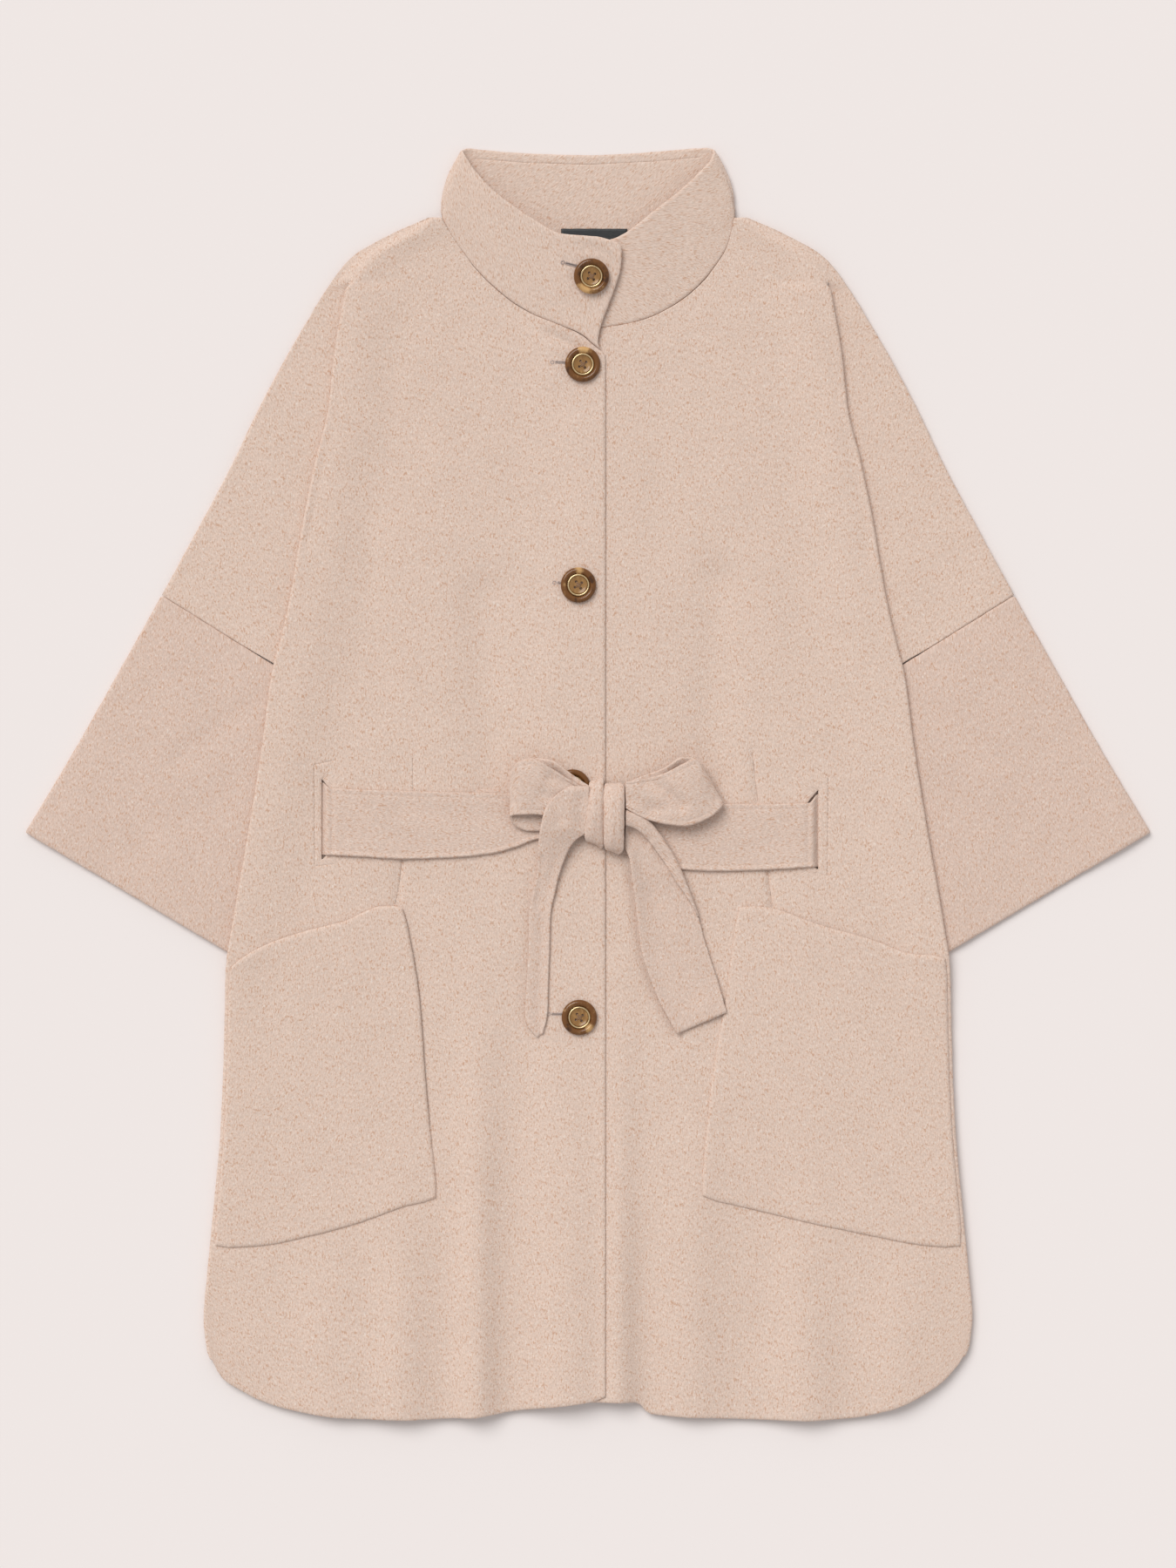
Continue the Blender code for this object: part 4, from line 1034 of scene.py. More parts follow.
# -------- bow
# loops, from the knot along the lower layer, round the far end and back along the upper layer:
# (top x, top y, bottom x, bottom y, top z, bottom z)
LOOP_RIGHT = ((1.4, -2, 1.4, -27, 15.4, 15.4), (-14, 8.5, -14, -33, 15.2, 14.6),
              (-30, 19.4, -30, -37.5, 14.6, 13.6), (-44, 20.8, -45, -37.8, 14.2, 13.0),
              (-55, 18.5, -56, -35, 14.6, 13.2), (-60.6, 12, -61, -30.5, 16.2, 14.8),
              (-61.8, 9, -61.8, -26.5, 18.4, 17.0), (-60.4, 12, -59.6, -25, 20.6, 19.0),
              (-54, 18.6, -53.5, -24.6, 21.9, 20.3), (-43, 19.6, -43, -24.4, 22.5, 20.5),
              (-30, 13, -30, -25.5, 21.6, 20.3), (-15, 3.5, -15, -24, 20.2, 19.6),
              (1.4, -6, 1.4, -23, 18.8, 18.6))
LOOP_LEFT = ((29.9, 1, 29.9, -19, 13.6, 13.6), (44, 6.5, 44, -26.4, 13.0, 13.0),
             (60, 12.5, 61, -32, 12.8, 12.6), (76, 21.8, 80, -33.2, 12.6, 12.0),
             (86, 20.5, 97, -27, 12.8, 11.6), (91.2, 13.5, 106, -20.5, 14.0, 12.6),
             (92.6, 11.5, 108.2, -16.8, 16.4, 15.0), (91.2, 14, 106, -19.4, 18.8, 18.0),
             (84.6, 20.0, 96, -27.6, 21.4, 19.6), (74, 15.2, 77, -33.8, 22.0, 20.2),
             (59, 7.8, 58, -31.4, 21.6, 20.0), (43, 3.8, 42, -26, 21.0, 19.8),
             (30.2, 1.8, 30.2, -19, 20.4, 19.6))
LOOP_STEPS = 110
LOOP_TURN = 6            # its far end is at this station
LOOP_UPPER = 7.0         # stations after this one are the upper layer
LOOP_PUFF = 1.0
LOOP_FLAT_EDGE = 0.2     # its upper edge keeps its height over this share of the width
LOOP_WIDTH = 46.0
REAR_CURL = 4.0          # the lower layer's upper edge curls up behind the upper layer
REAR_CURL_WIDTH = 7.0
REAR_CURL_RISE = 1.2     # stations over which the curl grows, and fades
REAR_CURL_FADE = 1.4
REAR_CURL_ROWS = ((0.6, 2.8), (1.6, 3.8))    # between these stations: viewer's left, right
# soft dents of the loops' upper layers: (x, y, x, y, depth, width)
LOOP_DENTS = ((-8, -4, -30, 5, 2.4, 5), (-10, -15, -36, -8, 1.6, 5), (-58, 4, -58, -18, 0.5, 5),
              (48, 2, 58, -3, 3.4, 5.5), (66, -9, 74, -17, 4.0, 5.5), (50, -21, 60, -20, 1.8, 5),
              (34, -12, 52, -17, 0.9, 4.5), (84, 14, 98, -14, 0.7, 5))

# bow tails: (left x, left y, right x, right y, left z, right z)
TAIL_RIGHT = ((-13, -1.6, 1.2, -2.6, 21.6, 20.2), (-22, -6.2, 1.2, -6, 24.0, 21.6),
              (-33.8, -19, 1.2, -21, 23.8, 21.2), (-37.6, -33, 1.2, -35, 21.6, 19.4),
              (-39.6, -47, -12, -47, 17.8, 16.6), (-40.6, -68.6, -21.7, -68.6, 13.4, 13.2),
              (-44.6, -88, -26.6, -88, 10.8, 11.6), (-47.4, -106, -30, -106, 9.4, 10.8),
              (-47.6, -132, -30.8, -132, 9.1, 10.7), (-49.4, -160, -31.6, -158, 9.0, 10.6),
              (-50.6, -188, -32.2, -183, 9.1, 10.6), (-40.8, -203.4, -37.0, -201, 9.8, 10.1))
TAIL_VALLEY = 0.62       # it lies folded lengthwise along a line this share of the way across
TAIL_VALLEY_DEPTH = 1.5
TAIL_VALLEY_WIDTH = 0.3
TAIL_FOLD_START = 3.5    # the fold starts at this station, and is full two stations on
TAIL_FOLD_RUN = 2
TAIL_PUFF = 0.8          # above it the tail is rounded by this much
TAIL_COLUMN_STEP = 0.055
# the other tail's edge is turned over near the knot, down to the gap line:
# (left x, left y, fold x, fold y, gap x, gap y, left z, fold z)
TAIL_LEFT = ((29.9, -49, 29.9, -23.5, 29.9, -32.6, 13.6, 14.4),
             (31.4, -54, 42, -27.6, 40.6, -36.4, 13.4, 14.3),
             (33, -59, 52.5, -37.5, 48.5, -44.5, 12.9, 13.6),
             (34.3, -66, 61, -49, 55.6, -54.4, 12.3, 12.8),
             (35.7, -77, 70, -64, 64.4, -68, 10.9, 11.3),
             (38, -95, 78, -83, 74.0, -85.4, 9.2, 9.7),
             (40.2, -114, 87.4, -108, 85.4, -109, 8.5, 8.8),
             (42.7, -133, 95.9, -133, 95.2, -133.2, 8.3, 8.6),
             (53.9, -166.6, 105.6, -163, 105.0, -163.2, 8.4, 9.0),
             (71.4, -200.6, 111.3, -183.4, 110.9, -183.6, 8.4, 10.6))
TURNED_END = 7.0         # the edge is turned over as far as this station,
TURNED_FADE = 2.6        # and narrows over this many before it
TURNED_LIFT = (5.0, 2.9)         # it stands this high near the knot, and further down,
TURNED_LIFT_RUN = 4      # from this station on
TAIL_LIP = 1.9           # the panel's left edge stands a little off the cloth,
TAIL_LIP_WIDTH = 6.0
TAIL_LIP_START = 3       # fully from this station on
TAIL_STEPS = 96
TAIL_COLUMNS = 60
TAIL_DENTS = ((50, -90, 84, -170, 1.0, 9), (40, -60, 56, -96, 1.0, 5), (70, -120, 96, -176, -0.7, 8),
              (34, -37, 47, -46, 3.4, 4.5), (54, -52, 62, -62, 2.0, 4))
TAIL_RIGHT_DENTS = ((-29, -12, -22, -27, 2.0, 5), (-6, -12, -6, -30, 1.0, 4), (-37, -60, -41, -96, 1.2, 4))

# knot, two wraps of the belt side by side:
# (middle y, half length, lowest, highest, flat width in metres)
WRAPS = ((-22.5, 25.4, 9.8, 24.8, 0.022), (-27.0, 26.6, 9.8, 25.8, 0.026))
# their sides, from top to bottom: (share of the way down, left x, right x)
WRAP_SIDES = (((0, 5.0, 11.4), (0.06, 2.6, 12.0), (0.12, 1.3, 12.3), (0.2, 0.8, 12.3), (0.5, -0.6, 12.3),
               (0.82, -2.6, 12.4), (0.88, -1.8, 12.2), (0.94, 0.0, 11.8), (1, 3.2, 10.4)),
              ((0, 15.0, 24.4), (0.06, 13.6, 27.2), (0.12, 12.8, 28.8), (0.2, 12.6, 29.2),
               (0.5, 12.6, 28.8), (0.82, 12.9, 28.6), (0.88, 13.5, 27.8), (0.94, 14.6, 26.0),
               (1, 17.0, 23.4)))
# how much lower a wrap's right side lies than its left one, at the top and at the bottom
WRAP_SLANTS = ((-2.0, 5.0), (-0.5, 3.4))
WRAP_SQUARE = 0.62       # the power that squares the wraps' curve off
WRAP_EDGE_DROP = 4.2
WRAP_EDGE_CURVE = 2.7    # the power of the drop towards a wrap's sides
WRAP_SAG = 0.8           # its middle reaches this much further than its sides
WRAP_CREASE = (0.62, 0.5, 1.6)   # a shallow crease: share of the way across, depth, width
WRAP_STEPS = 48
WRAP_COLUMN_STEP = 0.12


def rear_curl(at, start, end):
    return REAR_CURL * smoothstep((at - start) / REAR_CURL_RISE) * smoothstep((end - at) / REAR_CURL_FADE)


def loop_rows(table, curl_rows):
    """A loop of the bow: its lower layer, the turn at its far end and its upper layer."""
    rows = []
    for at, top_x, top_y, bottom_x, bottom_y, top_z, bottom_z in stations(table, LOOP_STEPS):
        upper = smoothstep(at - LOOP_UPPER)
        far = 1 - abs(at - LOOP_TURN) / LOOP_TURN
        row = []
        for share in across_shares(LOOP_WIDTH):
            x, y = lerp(top_x, bottom_x, share), lerp(top_y, bottom_y, share)
            z = lerp(top_z, bottom_z, smoothstep((share - LOOP_FLAT_EDGE) / (1 - LOOP_FLAT_EDGE)))
            puff = LOOP_PUFF * sin(pi * share) * smoothstep(2 * far) + stitched_edge(share, LOOP_WIDTH)
            z += puff * (2 * upper - 1) - creases(LOOP_DENTS, x, y) * upper
            z += rear_curl(at, *curl_rows) * (1 - smoothstep(share * LOOP_WIDTH / REAR_CURL_WIDTH))
            row.append((x, y, z))
        rows.append(row)
    return rows


def tail_right_rows():
    """The tail that hangs from the knot's viewer's left, folded lengthwise below its top."""
    rows = []
    for at, left_x, left_y, right_x, right_y, left_z, right_z in stations(TAIL_RIGHT, TAIL_STEPS):
        folded = smoothstep((at - TAIL_FOLD_START) / TAIL_FOLD_RUN)
        row = []
        for share in spaced(0, 1, TAIL_COLUMN_STEP):
            z = lerp(left_z, right_z, share) + TAIL_PUFF * sin(pi * share) * (1 - folded)
            z -= TAIL_VALLEY_DEPTH * folded * bump(share - TAIL_VALLEY, TAIL_VALLEY_WIDTH)
            x, y = lerp(left_x, right_x, share), lerp(left_y, right_y, share)
            row.append((x, y, z + hem_folds(x, y) - creases(TAIL_RIGHT_DENTS, x, y)))
        rows.append(row)
    return rows


def tail_left_rows():
    """The panel from its left edge to the fold, then the edge turned over on top of it."""
    rows = []
    for at, *places, left_z, fold_z in stations(TAIL_LEFT, TAIL_STEPS):
        left, fold, gap = places[0:2], places[2:4], places[4:6]
        radius = lerp(*TURNED_LIFT, smoothstep(at / TURNED_LIFT_RUN)) / 2
        width = step_length(left, fold)
        turned = step_length(gap, fold) + pi * radius
        turned *= smoothstep((TURNED_END - at) / TURNED_FADE)
        row = []
        for share in shares(TAIL_COLUMNS):
            past = lerp(-width, turned, share)
            angle = min(max(past / radius, 0.0), pi)
            out = width + min(past, 0.0) + radius * sin(angle) - max(past - pi * radius, 0.0)
            x, y = mix(left, fold, out / width)
            z = lerp(left_z, fold_z, out / width) - creases(TAIL_DENTS, x, y) + radius * (1 - cos(angle))
            z += hem_folds(x, y) + TAIL_LIP * bump(out, TAIL_LIP_WIDTH) * smoothstep(at / TAIL_LIP_START)
            row.append((x, y, z))
        rows.append(row)
    return rows


def wrap_rows(middle_y, half, low, high, sides, slants):
    """One wrap of the knot, from its top over its squared-off crown to its bottom."""
    crease_at, crease_depth, crease_width = WRAP_CREASE
    rows = []
    for down in shares(WRAP_STEPS):
        angle = lerp(-pi / 2, pi / 2, down)
        reach = abs(sin(angle)) ** (2 * WRAP_SQUARE)
        y = middle_y - half * (reach if angle > 0 else -reach)
        rise = abs(cos(angle)) ** WRAP_SQUARE
        left, right = curve(sides, down, 1), curve(sides, down, 2)
        row = []
        for across in spaced(-1, 1, WRAP_COLUMN_STEP):
            edge = abs(across) ** WRAP_EDGE_CURVE
            x = lerp(left, right, (across + 1) / 2)
            creased = crease_depth * bump(x - lerp(left, right, crease_at), crease_width)
            z = low + (high - low - WRAP_EDGE_DROP * edge - creased) * rise
            slant = lerp(*slants, down) * across / 2
            row.append((x, y - WRAP_SAG * edge * sin(angle) - slant, z))
        rows.append(row)
    return rows


def make_bow(finish, wall):
    bow = (("cloth_bow_loop_right", loop_rows(LOOP_RIGHT, REAR_CURL_ROWS[0]), (0.055, 0.17)),
           ("cloth_bow_loop_left", loop_rows(LOOP_LEFT, REAR_CURL_ROWS[1]), (0.055, 0.2)),
           ("cloth_bow_tail_right", tail_right_rows(), (0.055, 0.24)),
           ("cloth_bow_tail_left", tail_left_rows(), (0.06, 0.2)))
    for name, rows, flat in bow:
        sew(name, cloth_sheet(rows), finish, wall, flat, ["belt_front_right", "belt_front_left"],
            "folded", even=False)


def make_knot(finish, wall):
    for number, (wrap, sides, slants) in enumerate(zip(WRAPS, WRAP_SIDES, WRAP_SLANTS), 1):
        *sizes, width = wrap
        made = cloth_sheet(wrap_rows(*sizes, sides, slants))
        sew("cloth_belt_knot_%d" % number, made, finish, wall, (width, 0.09), ["front_right"], "folded")


# -------- buttons
BUTTON_SIDES = 72
BUTTON_RADIUS = 14.2
# top of a button, from its rim inwards: (radius, height)
BUTTON_STEPS = ((14.0, 2.7), (13.6, 3.3), (12.8, 3.95), (11.9, 4.25), (10.9, 4.1), (10.0, 3.5), (9.5, 2.8),
                (9.2, 2.0), (7.3, 1.9), (7.1, 2.4), (6.8, 2.6), (6.0, 2.15), (4.6, 1.75), (2.0, 1.6))
BUTTON_FOOT = ((13.6, 1.1), (12.0, 0.45), (10.0, 0.0))
BUTTON_WAIST = 2.0       # height of its widest line
BLANK_DEPTH = 0.4        # thickness of the disc that it is turned from
SHARP = radians(35)      # edges sharper than this stay sharp
HOLE_RADIUS = 1.1
HOLE_SIDES = 20
HOLE_OUT = 3.2
HOLE_TURN = radians(34)
DRILL_DEPTH = 12.0
THREAD_RADIUS = 0.36
THREAD_SIDES = 12
THREAD_CUTS = 5          # each strand is cut into this many steps more, so that it can bend
THREAD_HEIGHT = 1.95
THREAD_CROSS = 0.25      # the second pair of strands lies this much higher
THREAD_APART = 0.45      # each strand's distance from the pair's middle
THREAD_DIVE = 1.3        # a strand goes down into its hole by this much,
THREAD_BEND = 6          # with this power of its way out
RING_RADIUS = 8.15       # middle of the metal ring
RING_SECTION = 0.68
RING_HEIGHT = 2.6
RING_FLATNESS = 0.8      # its section's height over its width
RING_SIDES = 14
# light patch in each button's rim: (direction in degrees, half width in degrees, strength)
RESIN_PATCHES = ((-112, 34, 1.0), (88, 20, 1.3), (86, 20, 1.2), (150, 34, 1.3), (-48, 26, 1.1))


def collar_height(y):
    """Middle of the collar's overlapping end at a level."""
    _, base_y, base_z, _, top_y, _ = COLLAR[1]
    return lerp(base_z, COLLAR[2][5], (y - base_y) / (top_y - base_y))


def button_seat(index, x, y):
    """Height of a button's foot, and how far it leans back with the cloth under it."""
    floor, tilt = top_height(x, y), 0.0
    if index == 0:
        base, top = COLLAR[1], COLLAR[2]
        floor = collar_height(y) + FIRST_BUTTON_EXTRA
        tilt = atan2(top[5] - base[2], top[4] - base[1])
    return floor + WALL / 2 + BUTTON_LIFT + drape(x, y), tilt


def place_in_mesh(piece, place, tilt):
    """Puts a piece that was modelled about the origin at its place, inside its mesh."""
    move = Matrix.Translation([part * MM for part in place])
    piece.data.transform(move @ Matrix.Rotation(tilt, 4, "X"))


def primitive(add, **settings):
    """A primitive at its size and place, as the only thing selected."""
    bpy.ops.object.select_all(action="DESELECT")
    add(**settings)
    return bpy.context.active_object


def apply_place():
    bpy.ops.object.transform_apply(location=True, rotation=True, scale=True)


def select_end(piece, side):
    """Selects only the many-sided end face of a piece in edit mode, above or below."""
    made = bmesh.from_edit_mesh(piece.data)
    end = max(made.faces, key=lambda face: (len(face.verts), side * face.normal.z))
    for face in made.faces:
        face.select = False
    end.select = True
    made.select_flush_mode()
    bmesh.update_edit_mesh(piece.data)


def shape_rings(piece, steps, side):
    """Insets the end face again and again, and moves each new ring to its height."""
    radius, z = BUTTON_RADIUS, BUTTON_WAIST
    for next_radius, next_z in steps:
        select_end(piece, side)
        bpy.ops.mesh.inset(thickness=(radius - next_radius) * MM, depth=0)
        bpy.ops.transform.translate(value=(0, 0, (next_z - z) * MM))
        radius, z = next_radius, next_z


def mark_resin(piece, patch):
    """Stores how far each point lies from a button's middle, and its share of the light patch."""
    direction, half_width, strength = patch
    zone = piece.data.attributes.new("Zone", "FLOAT", "POINT")
    glow = piece.data.attributes.new("Glow", "FLOAT", "POINT")
    for vertex in piece.data.vertices:
        turn = atan2(vertex.co.y, vertex.co.x) - radians(direction)
        turn = (turn + pi) % (2 * pi) - pi
        zone.data[vertex.index].value = vertex.co.xy.length / MM / BUTTON_RADIUS
        glow.data[vertex.index].value = strength * bump(turn, radians(half_width))


def drill_holes(piece):
    for hole in range(4):
        angle = HOLE_TURN + hole * pi / 2
        drill = primitive(bpy.ops.mesh.primitive_cylinder_add, vertices=HOLE_SIDES,
                          radius=HOLE_RADIUS * MM, depth=DRILL_DEPTH * MM,
                          location=(HOLE_OUT * cos(angle) * MM, HOLE_OUT * sin(angle) * MM, 0))
        cut = piece.modifiers.new("Hole", "BOOLEAN")
        cut.operation = "DIFFERENCE"
        cut.object = drill
        only_select(piece)
        bpy.ops.object.modifier_apply(modifier=cut.name)
        bpy.data.objects.remove(drill)


def make_button_body(finish, sides):
    """One button about the origin: a turned resin disc with a dished middle and four holes."""
    piece = primitive(bpy.ops.mesh.primitive_cylinder_add, vertices=sides, radius=BUTTON_RADIUS * MM,
                      depth=BLANK_DEPTH * MM, location=(0, 0, (BUTTON_WAIST - BLANK_DEPTH / 2) * MM))
    apply_place()
    bpy.ops.object.mode_set(mode="EDIT")
    bpy.ops.mesh.select_mode(type="FACE")
    shape_rings(piece, BUTTON_STEPS, 1)
    shape_rings(piece, BUTTON_FOOT, -1)
    bpy.ops.object.mode_set(mode="OBJECT")
    drill_holes(piece)
    only_select(piece)
    bpy.ops.object.shade_smooth_by_angle(angle=SHARP)
    piece.data.materials.append(finish)
    return piece


def make_thread_bars():
    """The thread that holds a button: two pairs of strands, crossed over its middle."""
    bars = []
    for pair in (0, 1):
        angle = HOLE_TURN + pair * pi / 2
        for offset in (-THREAD_APART, THREAD_APART):
            place = (-offset * sin(angle), offset * cos(angle), THREAD_HEIGHT + THREAD_CROSS * pair)
            bar = primitive(bpy.ops.mesh.primitive_cylinder_add, vertices=THREAD_SIDES,
                            radius=THREAD_RADIUS * MM, depth=2 * HOLE_OUT * MM,
                            location=[part * MM for part in place], rotation=(0, pi / 2, angle))
            bpy.ops.object.mode_set(mode="EDIT")
            bpy.ops.mesh.select_all(action="SELECT")
            bpy.ops.mesh.subdivide(number_cuts=THREAD_CUTS)
            bpy.ops.object.mode_set(mode="OBJECT")
            apply_place()
            for vertex in bar.data.vertices:
                out = vertex.co.xy.length / MM / HOLE_OUT
                vertex.co.z -= THREAD_DIVE * MM * out ** THREAD_BEND
            bars.append(bar)
    bpy.ops.object.select_all(action="DESELECT")
    for bar in bars:
        bar.select_set(True)
    bpy.context.view_layer.objects.active = bars[0]
    bpy.ops.object.join()
    bpy.ops.object.shade_smooth()
    return bpy.context.active_object


def make_ring_body():
    """The thin brass ring that sits in a button's groove."""
    piece = primitive(bpy.ops.mesh.primitive_torus_add, major_radius=RING_RADIUS * MM,
                      minor_radius=RING_SECTION * MM, major_segments=BUTTON_SIDES,
                      minor_segments=RING_SIDES, location=(0, 0, RING_HEIGHT * MM))
    apply_place()
    for vertex in piece.data.vertices:
        vertex.co.z = lerp(RING_HEIGHT * MM, vertex.co.z, RING_FLATNESS)
    bpy.ops.object.shade_smooth()
    return piece


def copy_to(master, name, seat, finish, node, patch=None):
    """A copy of a shape with its own mesh, at its place on the coat."""
    piece = add_piece(name, master.data.copy(), finish, node)
    if patch:
        mark_resin(piece, patch)
    place_in_mesh(piece, *seat)


def make_buttons(horn, metal, thread, sides):
    masters = (make_button_body(horn, sides), make_ring_body(), make_thread_bars())
    for index, (x, y) in enumerate(BUTTONS):
        z, tilt = button_seat(index, x, y)
        seat, number = ((x, y, z), tilt), index + 1
        copy_to(masters[0], "resin_button_%d" % number, seat, horn, "button_%d" % number,
                RESIN_PATCHES[index])
        copy_to(masters[1], "brass_ring_%d" % number, seat, metal, "ring_%d" % number)
        copy_to(masters[2], "button_thread_%d" % number, seat, thread, None)
    for master in masters:
        bpy.data.objects.remove(master)


# -------- buttonholes
# (middle of the keyhole's eye x, y, lean of the slit in degrees)
BUTTONHOLES = ((-20.3, 417.9, -14), (-28.7, 338.8, -2), (-27.0, 161.7, -4), (-31.5, -0.5, 0),
               (-31.5, -184.8, 0))
EYE_RADIUS = 1.35
EYE_STITCHES = 14
SLIT_START = 2.6         # from the eye's middle
SLIT_END = 15.5
SLIT_SHADOW_START = 2.2    # painted shadow in the cut slit: a dark line between the stitches
SLIT_SHADOW_STEP = 1.2
SLIT_SHADOW_RADIUS = 0.2
SLIT_SHADOW_RAISE = 0.06
SLIT_SHADOW_DARKNESS = 0.3         # how much darker the slit's painted shadow is than the thread
STITCH_OUT = 0.75
STITCH_PITCH = 0.55
STITCH_RADIUS = 0.24
STITCH_LENGTH = 1.15
STITCH_RAISE = 0.05
STITCH_UNEVEN = 0.12     # stitches differ by this much in length and direction,
STITCH_TURN = 2.7        # in waves of this turn from one to the next


def buttonhole_stitches():
    """Places and directions of the stitches round a keyhole, about its eye: (x, y, angle)."""
    eye = [(EYE_RADIUS * cos(a), EYE_RADIUS * sin(a), a)
           for a in (2 * pi * i / EYE_STITCHES for i in range(EYE_STITCHES))]
    bars = []
    for x in spaced(SLIT_START, SLIT_END, STITCH_PITCH):
        for way in (-1, 1):
            bars.append((x, way * STITCH_OUT, way * pi / 2))
    return eye + bars


def surface_height(index, x, y):
    """The cloth's face where a buttonhole lies."""
    if index == 0:
        z = collar_height(y) - collar_dimple(x, y)
    else:
        z = top_height(x, y) - creases(CREASES_RIGHT, x, y)
    return z + WALL / 2 + drape(x, y)


def make_buttonholes(thread, slit_shadow_finish):
    """Small capsules of thread round each eye and along each slit, half sunk in the cloth, and a dark line
    of painted shadow down each slit.
    """
    for index, (eye_x, eye_y, lean) in enumerate(BUTTONHOLES):
        lean = radians(lean)
        mesh = bpy.data.meshes.new("buttonhole")
        made = bmesh.new()
        for number, (x, y, angle) in enumerate(buttonhole_stitches()):
            uneven = STITCH_UNEVEN * sin(number * STITCH_TURN)
            place_x = eye_x + x * cos(lean) - y * sin(lean)
            place_y = eye_y + x * sin(lean) + y * cos(lean)
            place_z = surface_height(index, place_x, place_y) + STITCH_RAISE
            place = Vector((place_x, place_y, place_z)) * MM
            turn = Matrix.Rotation(angle + lean + uneven, 4, "Z")
            size = Matrix.Diagonal((STITCH_LENGTH / 2 + uneven, STITCH_RADIUS, STITCH_RADIUS, 1 / MM))
            bmesh.ops.create_icosphere(made, subdivisions=2, radius=1,
                                       matrix=Matrix.Translation(place) @ turn @ (size * MM))
        for face in made.faces:
            face.smooth = True
        made.to_mesh(mesh)
        made.free()
        add_piece("buttonhole_%d" % (index + 1), mesh, thread, None)
        # a dark thread down the slit stands in for the shade inside it: painted shadow
        line = []
        for x in spaced(SLIT_SHADOW_START, SLIT_END, SLIT_SHADOW_STEP):
            place_x, place_y = eye_x + x * cos(lean), eye_y + x * sin(lean)
            line.append((place_x, place_y, surface_height(index, place_x, place_y) + SLIT_SHADOW_RAISE))
        slit = line_piece("buttonhole_slit_%d" % (index + 1), line, SLIT_SHADOW_RADIUS)
        dress(slit, slit_shadow_finish, None)


def line_piece(name, line, radius):
    """A thin thread along a line, as a closed mesh."""
    data = bpy.data.curves.new(name, "CURVE")
    data.dimensions = "3D"
    data.bevel_depth = radius * MM
    data.bevel_resolution = 2
    data.use_fill_caps = True
    spline = data.splines.new("POLY")
    spline.points.add(len(line) - 1)
    for point, place in zip(spline.points, line):
        point.co = (*[part * MM for part in place], 1)
    piece = bpy.data.objects.new(name, data)
    bpy.context.collection.objects.link(piece)
    only_select(piece)
    bpy.ops.object.convert(target="MESH")
    piece = bpy.context.active_object
    piece.name = name
    return piece


# -------- materials
NAP_SLANT = radians(9)
NAP_RELIEF = 0.00055     # depths of bump, in metres
SATIN_RELIEF = 0.00015
RESIN_RELIEF = 0.0002
THREAD_RELIEF = 0.0001
WOOL_SHINE = {"Specular IOR Level": 0.12, "Sheen Weight": 0.22, "Sheen Roughness": 0.55,
              "Sheen Tint": (1.0, 0.93, 0.88, 1)}
RESIN_SHINE = {"Specular IOR Level": 0.35, "Coat Weight": 0.15, "Coat Roughness": 0.12}
SURFACE = (("Color", "NodeSocketColor"), ("Roughness", "NodeSocketFloat"), ("Height", "NodeSocketFloat"))


def feed(tree, socket, value):
    """Gives an input a value, or links it to another node's output."""
    if isinstance(value, bpy.types.NodeSocket):
        tree.links.new(value, socket)
    else:
        socket.default_value = value


def put(tree, kind, sockets=(), **settings):
    """A node of a kind, with its settings, and with its inputs fed by name or number."""
    made = tree.nodes.new(kind)
    for name, value in settings.items():
        setattr(made, name, value)
    for name, value in dict(sockets).items():
        feed(tree, made.inputs[name], value)
    return made


def open_group(name, inputs, outputs):
    """An empty shader node group with named inputs, (name, kind, value), and outputs."""
    tree = bpy.data.node_groups.new(name, "ShaderNodeTree")
    for socket, kind, value in inputs:
        made = tree.interface.new_socket(name=socket, in_out="INPUT", socket_type=kind)
        if value is not None:
            made.default_value = value
    for socket, kind in outputs:
        tree.interface.new_socket(name=socket, in_out="OUTPUT", socket_type=kind)
    return tree, tree.nodes.new("NodeGroupInput").outputs, tree.nodes.new("NodeGroupOutput").inputs


def noise_at(tree, place, scale, detail, stretch=(1, 1, 1), turn=0.0):
    """Noise at so many features a metre, drawn out along the cloth where it is stretched."""
    mapped = put(tree, "ShaderNodeMapping",
                 {"Vector": place, "Scale": stretch, "Rotation": (0, 0, turn)}).outputs[0]
    return put(tree, "ShaderNodeTexNoise",
               {"Vector": mapped, "Scale": scale, "Detail": detail, "Roughness": 0.6}).outputs[0]


def band(tree, value, low, high, start=0.0, end=1.0):
    """Turns the part of a value between low and high into start to end, softly."""
    return put(tree, "ShaderNodeMapRange",
               {"Value": value, "From Min": low, "From Max": high, "To Min": start, "To Max": end},
               interpolation_type="SMOOTHSTEP").outputs[0]


def mixed(tree, share, first, second):
    """A mix of two colours."""
    made = put(tree, "ShaderNodeMix", {"Factor": share, 6: first, 7: second}, data_type="RGBA")
    return made.outputs[2]


def shades(tree, share, colour, darker, paler):
    """A colour that varies between a darker and a paler shade of itself."""
    low, high = [(*[min(1.0, part * factor) for part in colour], 1) for factor in (darker, paler)]
    return mixed(tree, share, low, high)


def sums(tree, *parts):
    """The sum of values, each with its weight."""
    total = None
    for value, weight in parts:
        part = put(tree, "ShaderNodeMath", {0: value, 1: weight}, operation="MULTIPLY").outputs[0]
        if total is not None:
            part = put(tree, "ShaderNodeMath", {0: total, 1: part}, operation="ADD").outputs[0]
        total = part
    return total


def open_material(name, on_cloth=False):
    """A new material, its node tree, and the place that its pattern is read at."""
    made = bpy.data.materials.new(name)
    made.use_nodes = True
    tree = made.node_tree
    if on_cloth:
        return made, tree, put(tree, "ShaderNodeUVMap", uv_map="Cloth").outputs[0]
    return made, tree, put(tree, "ShaderNodeTexCoord").outputs["Object"]


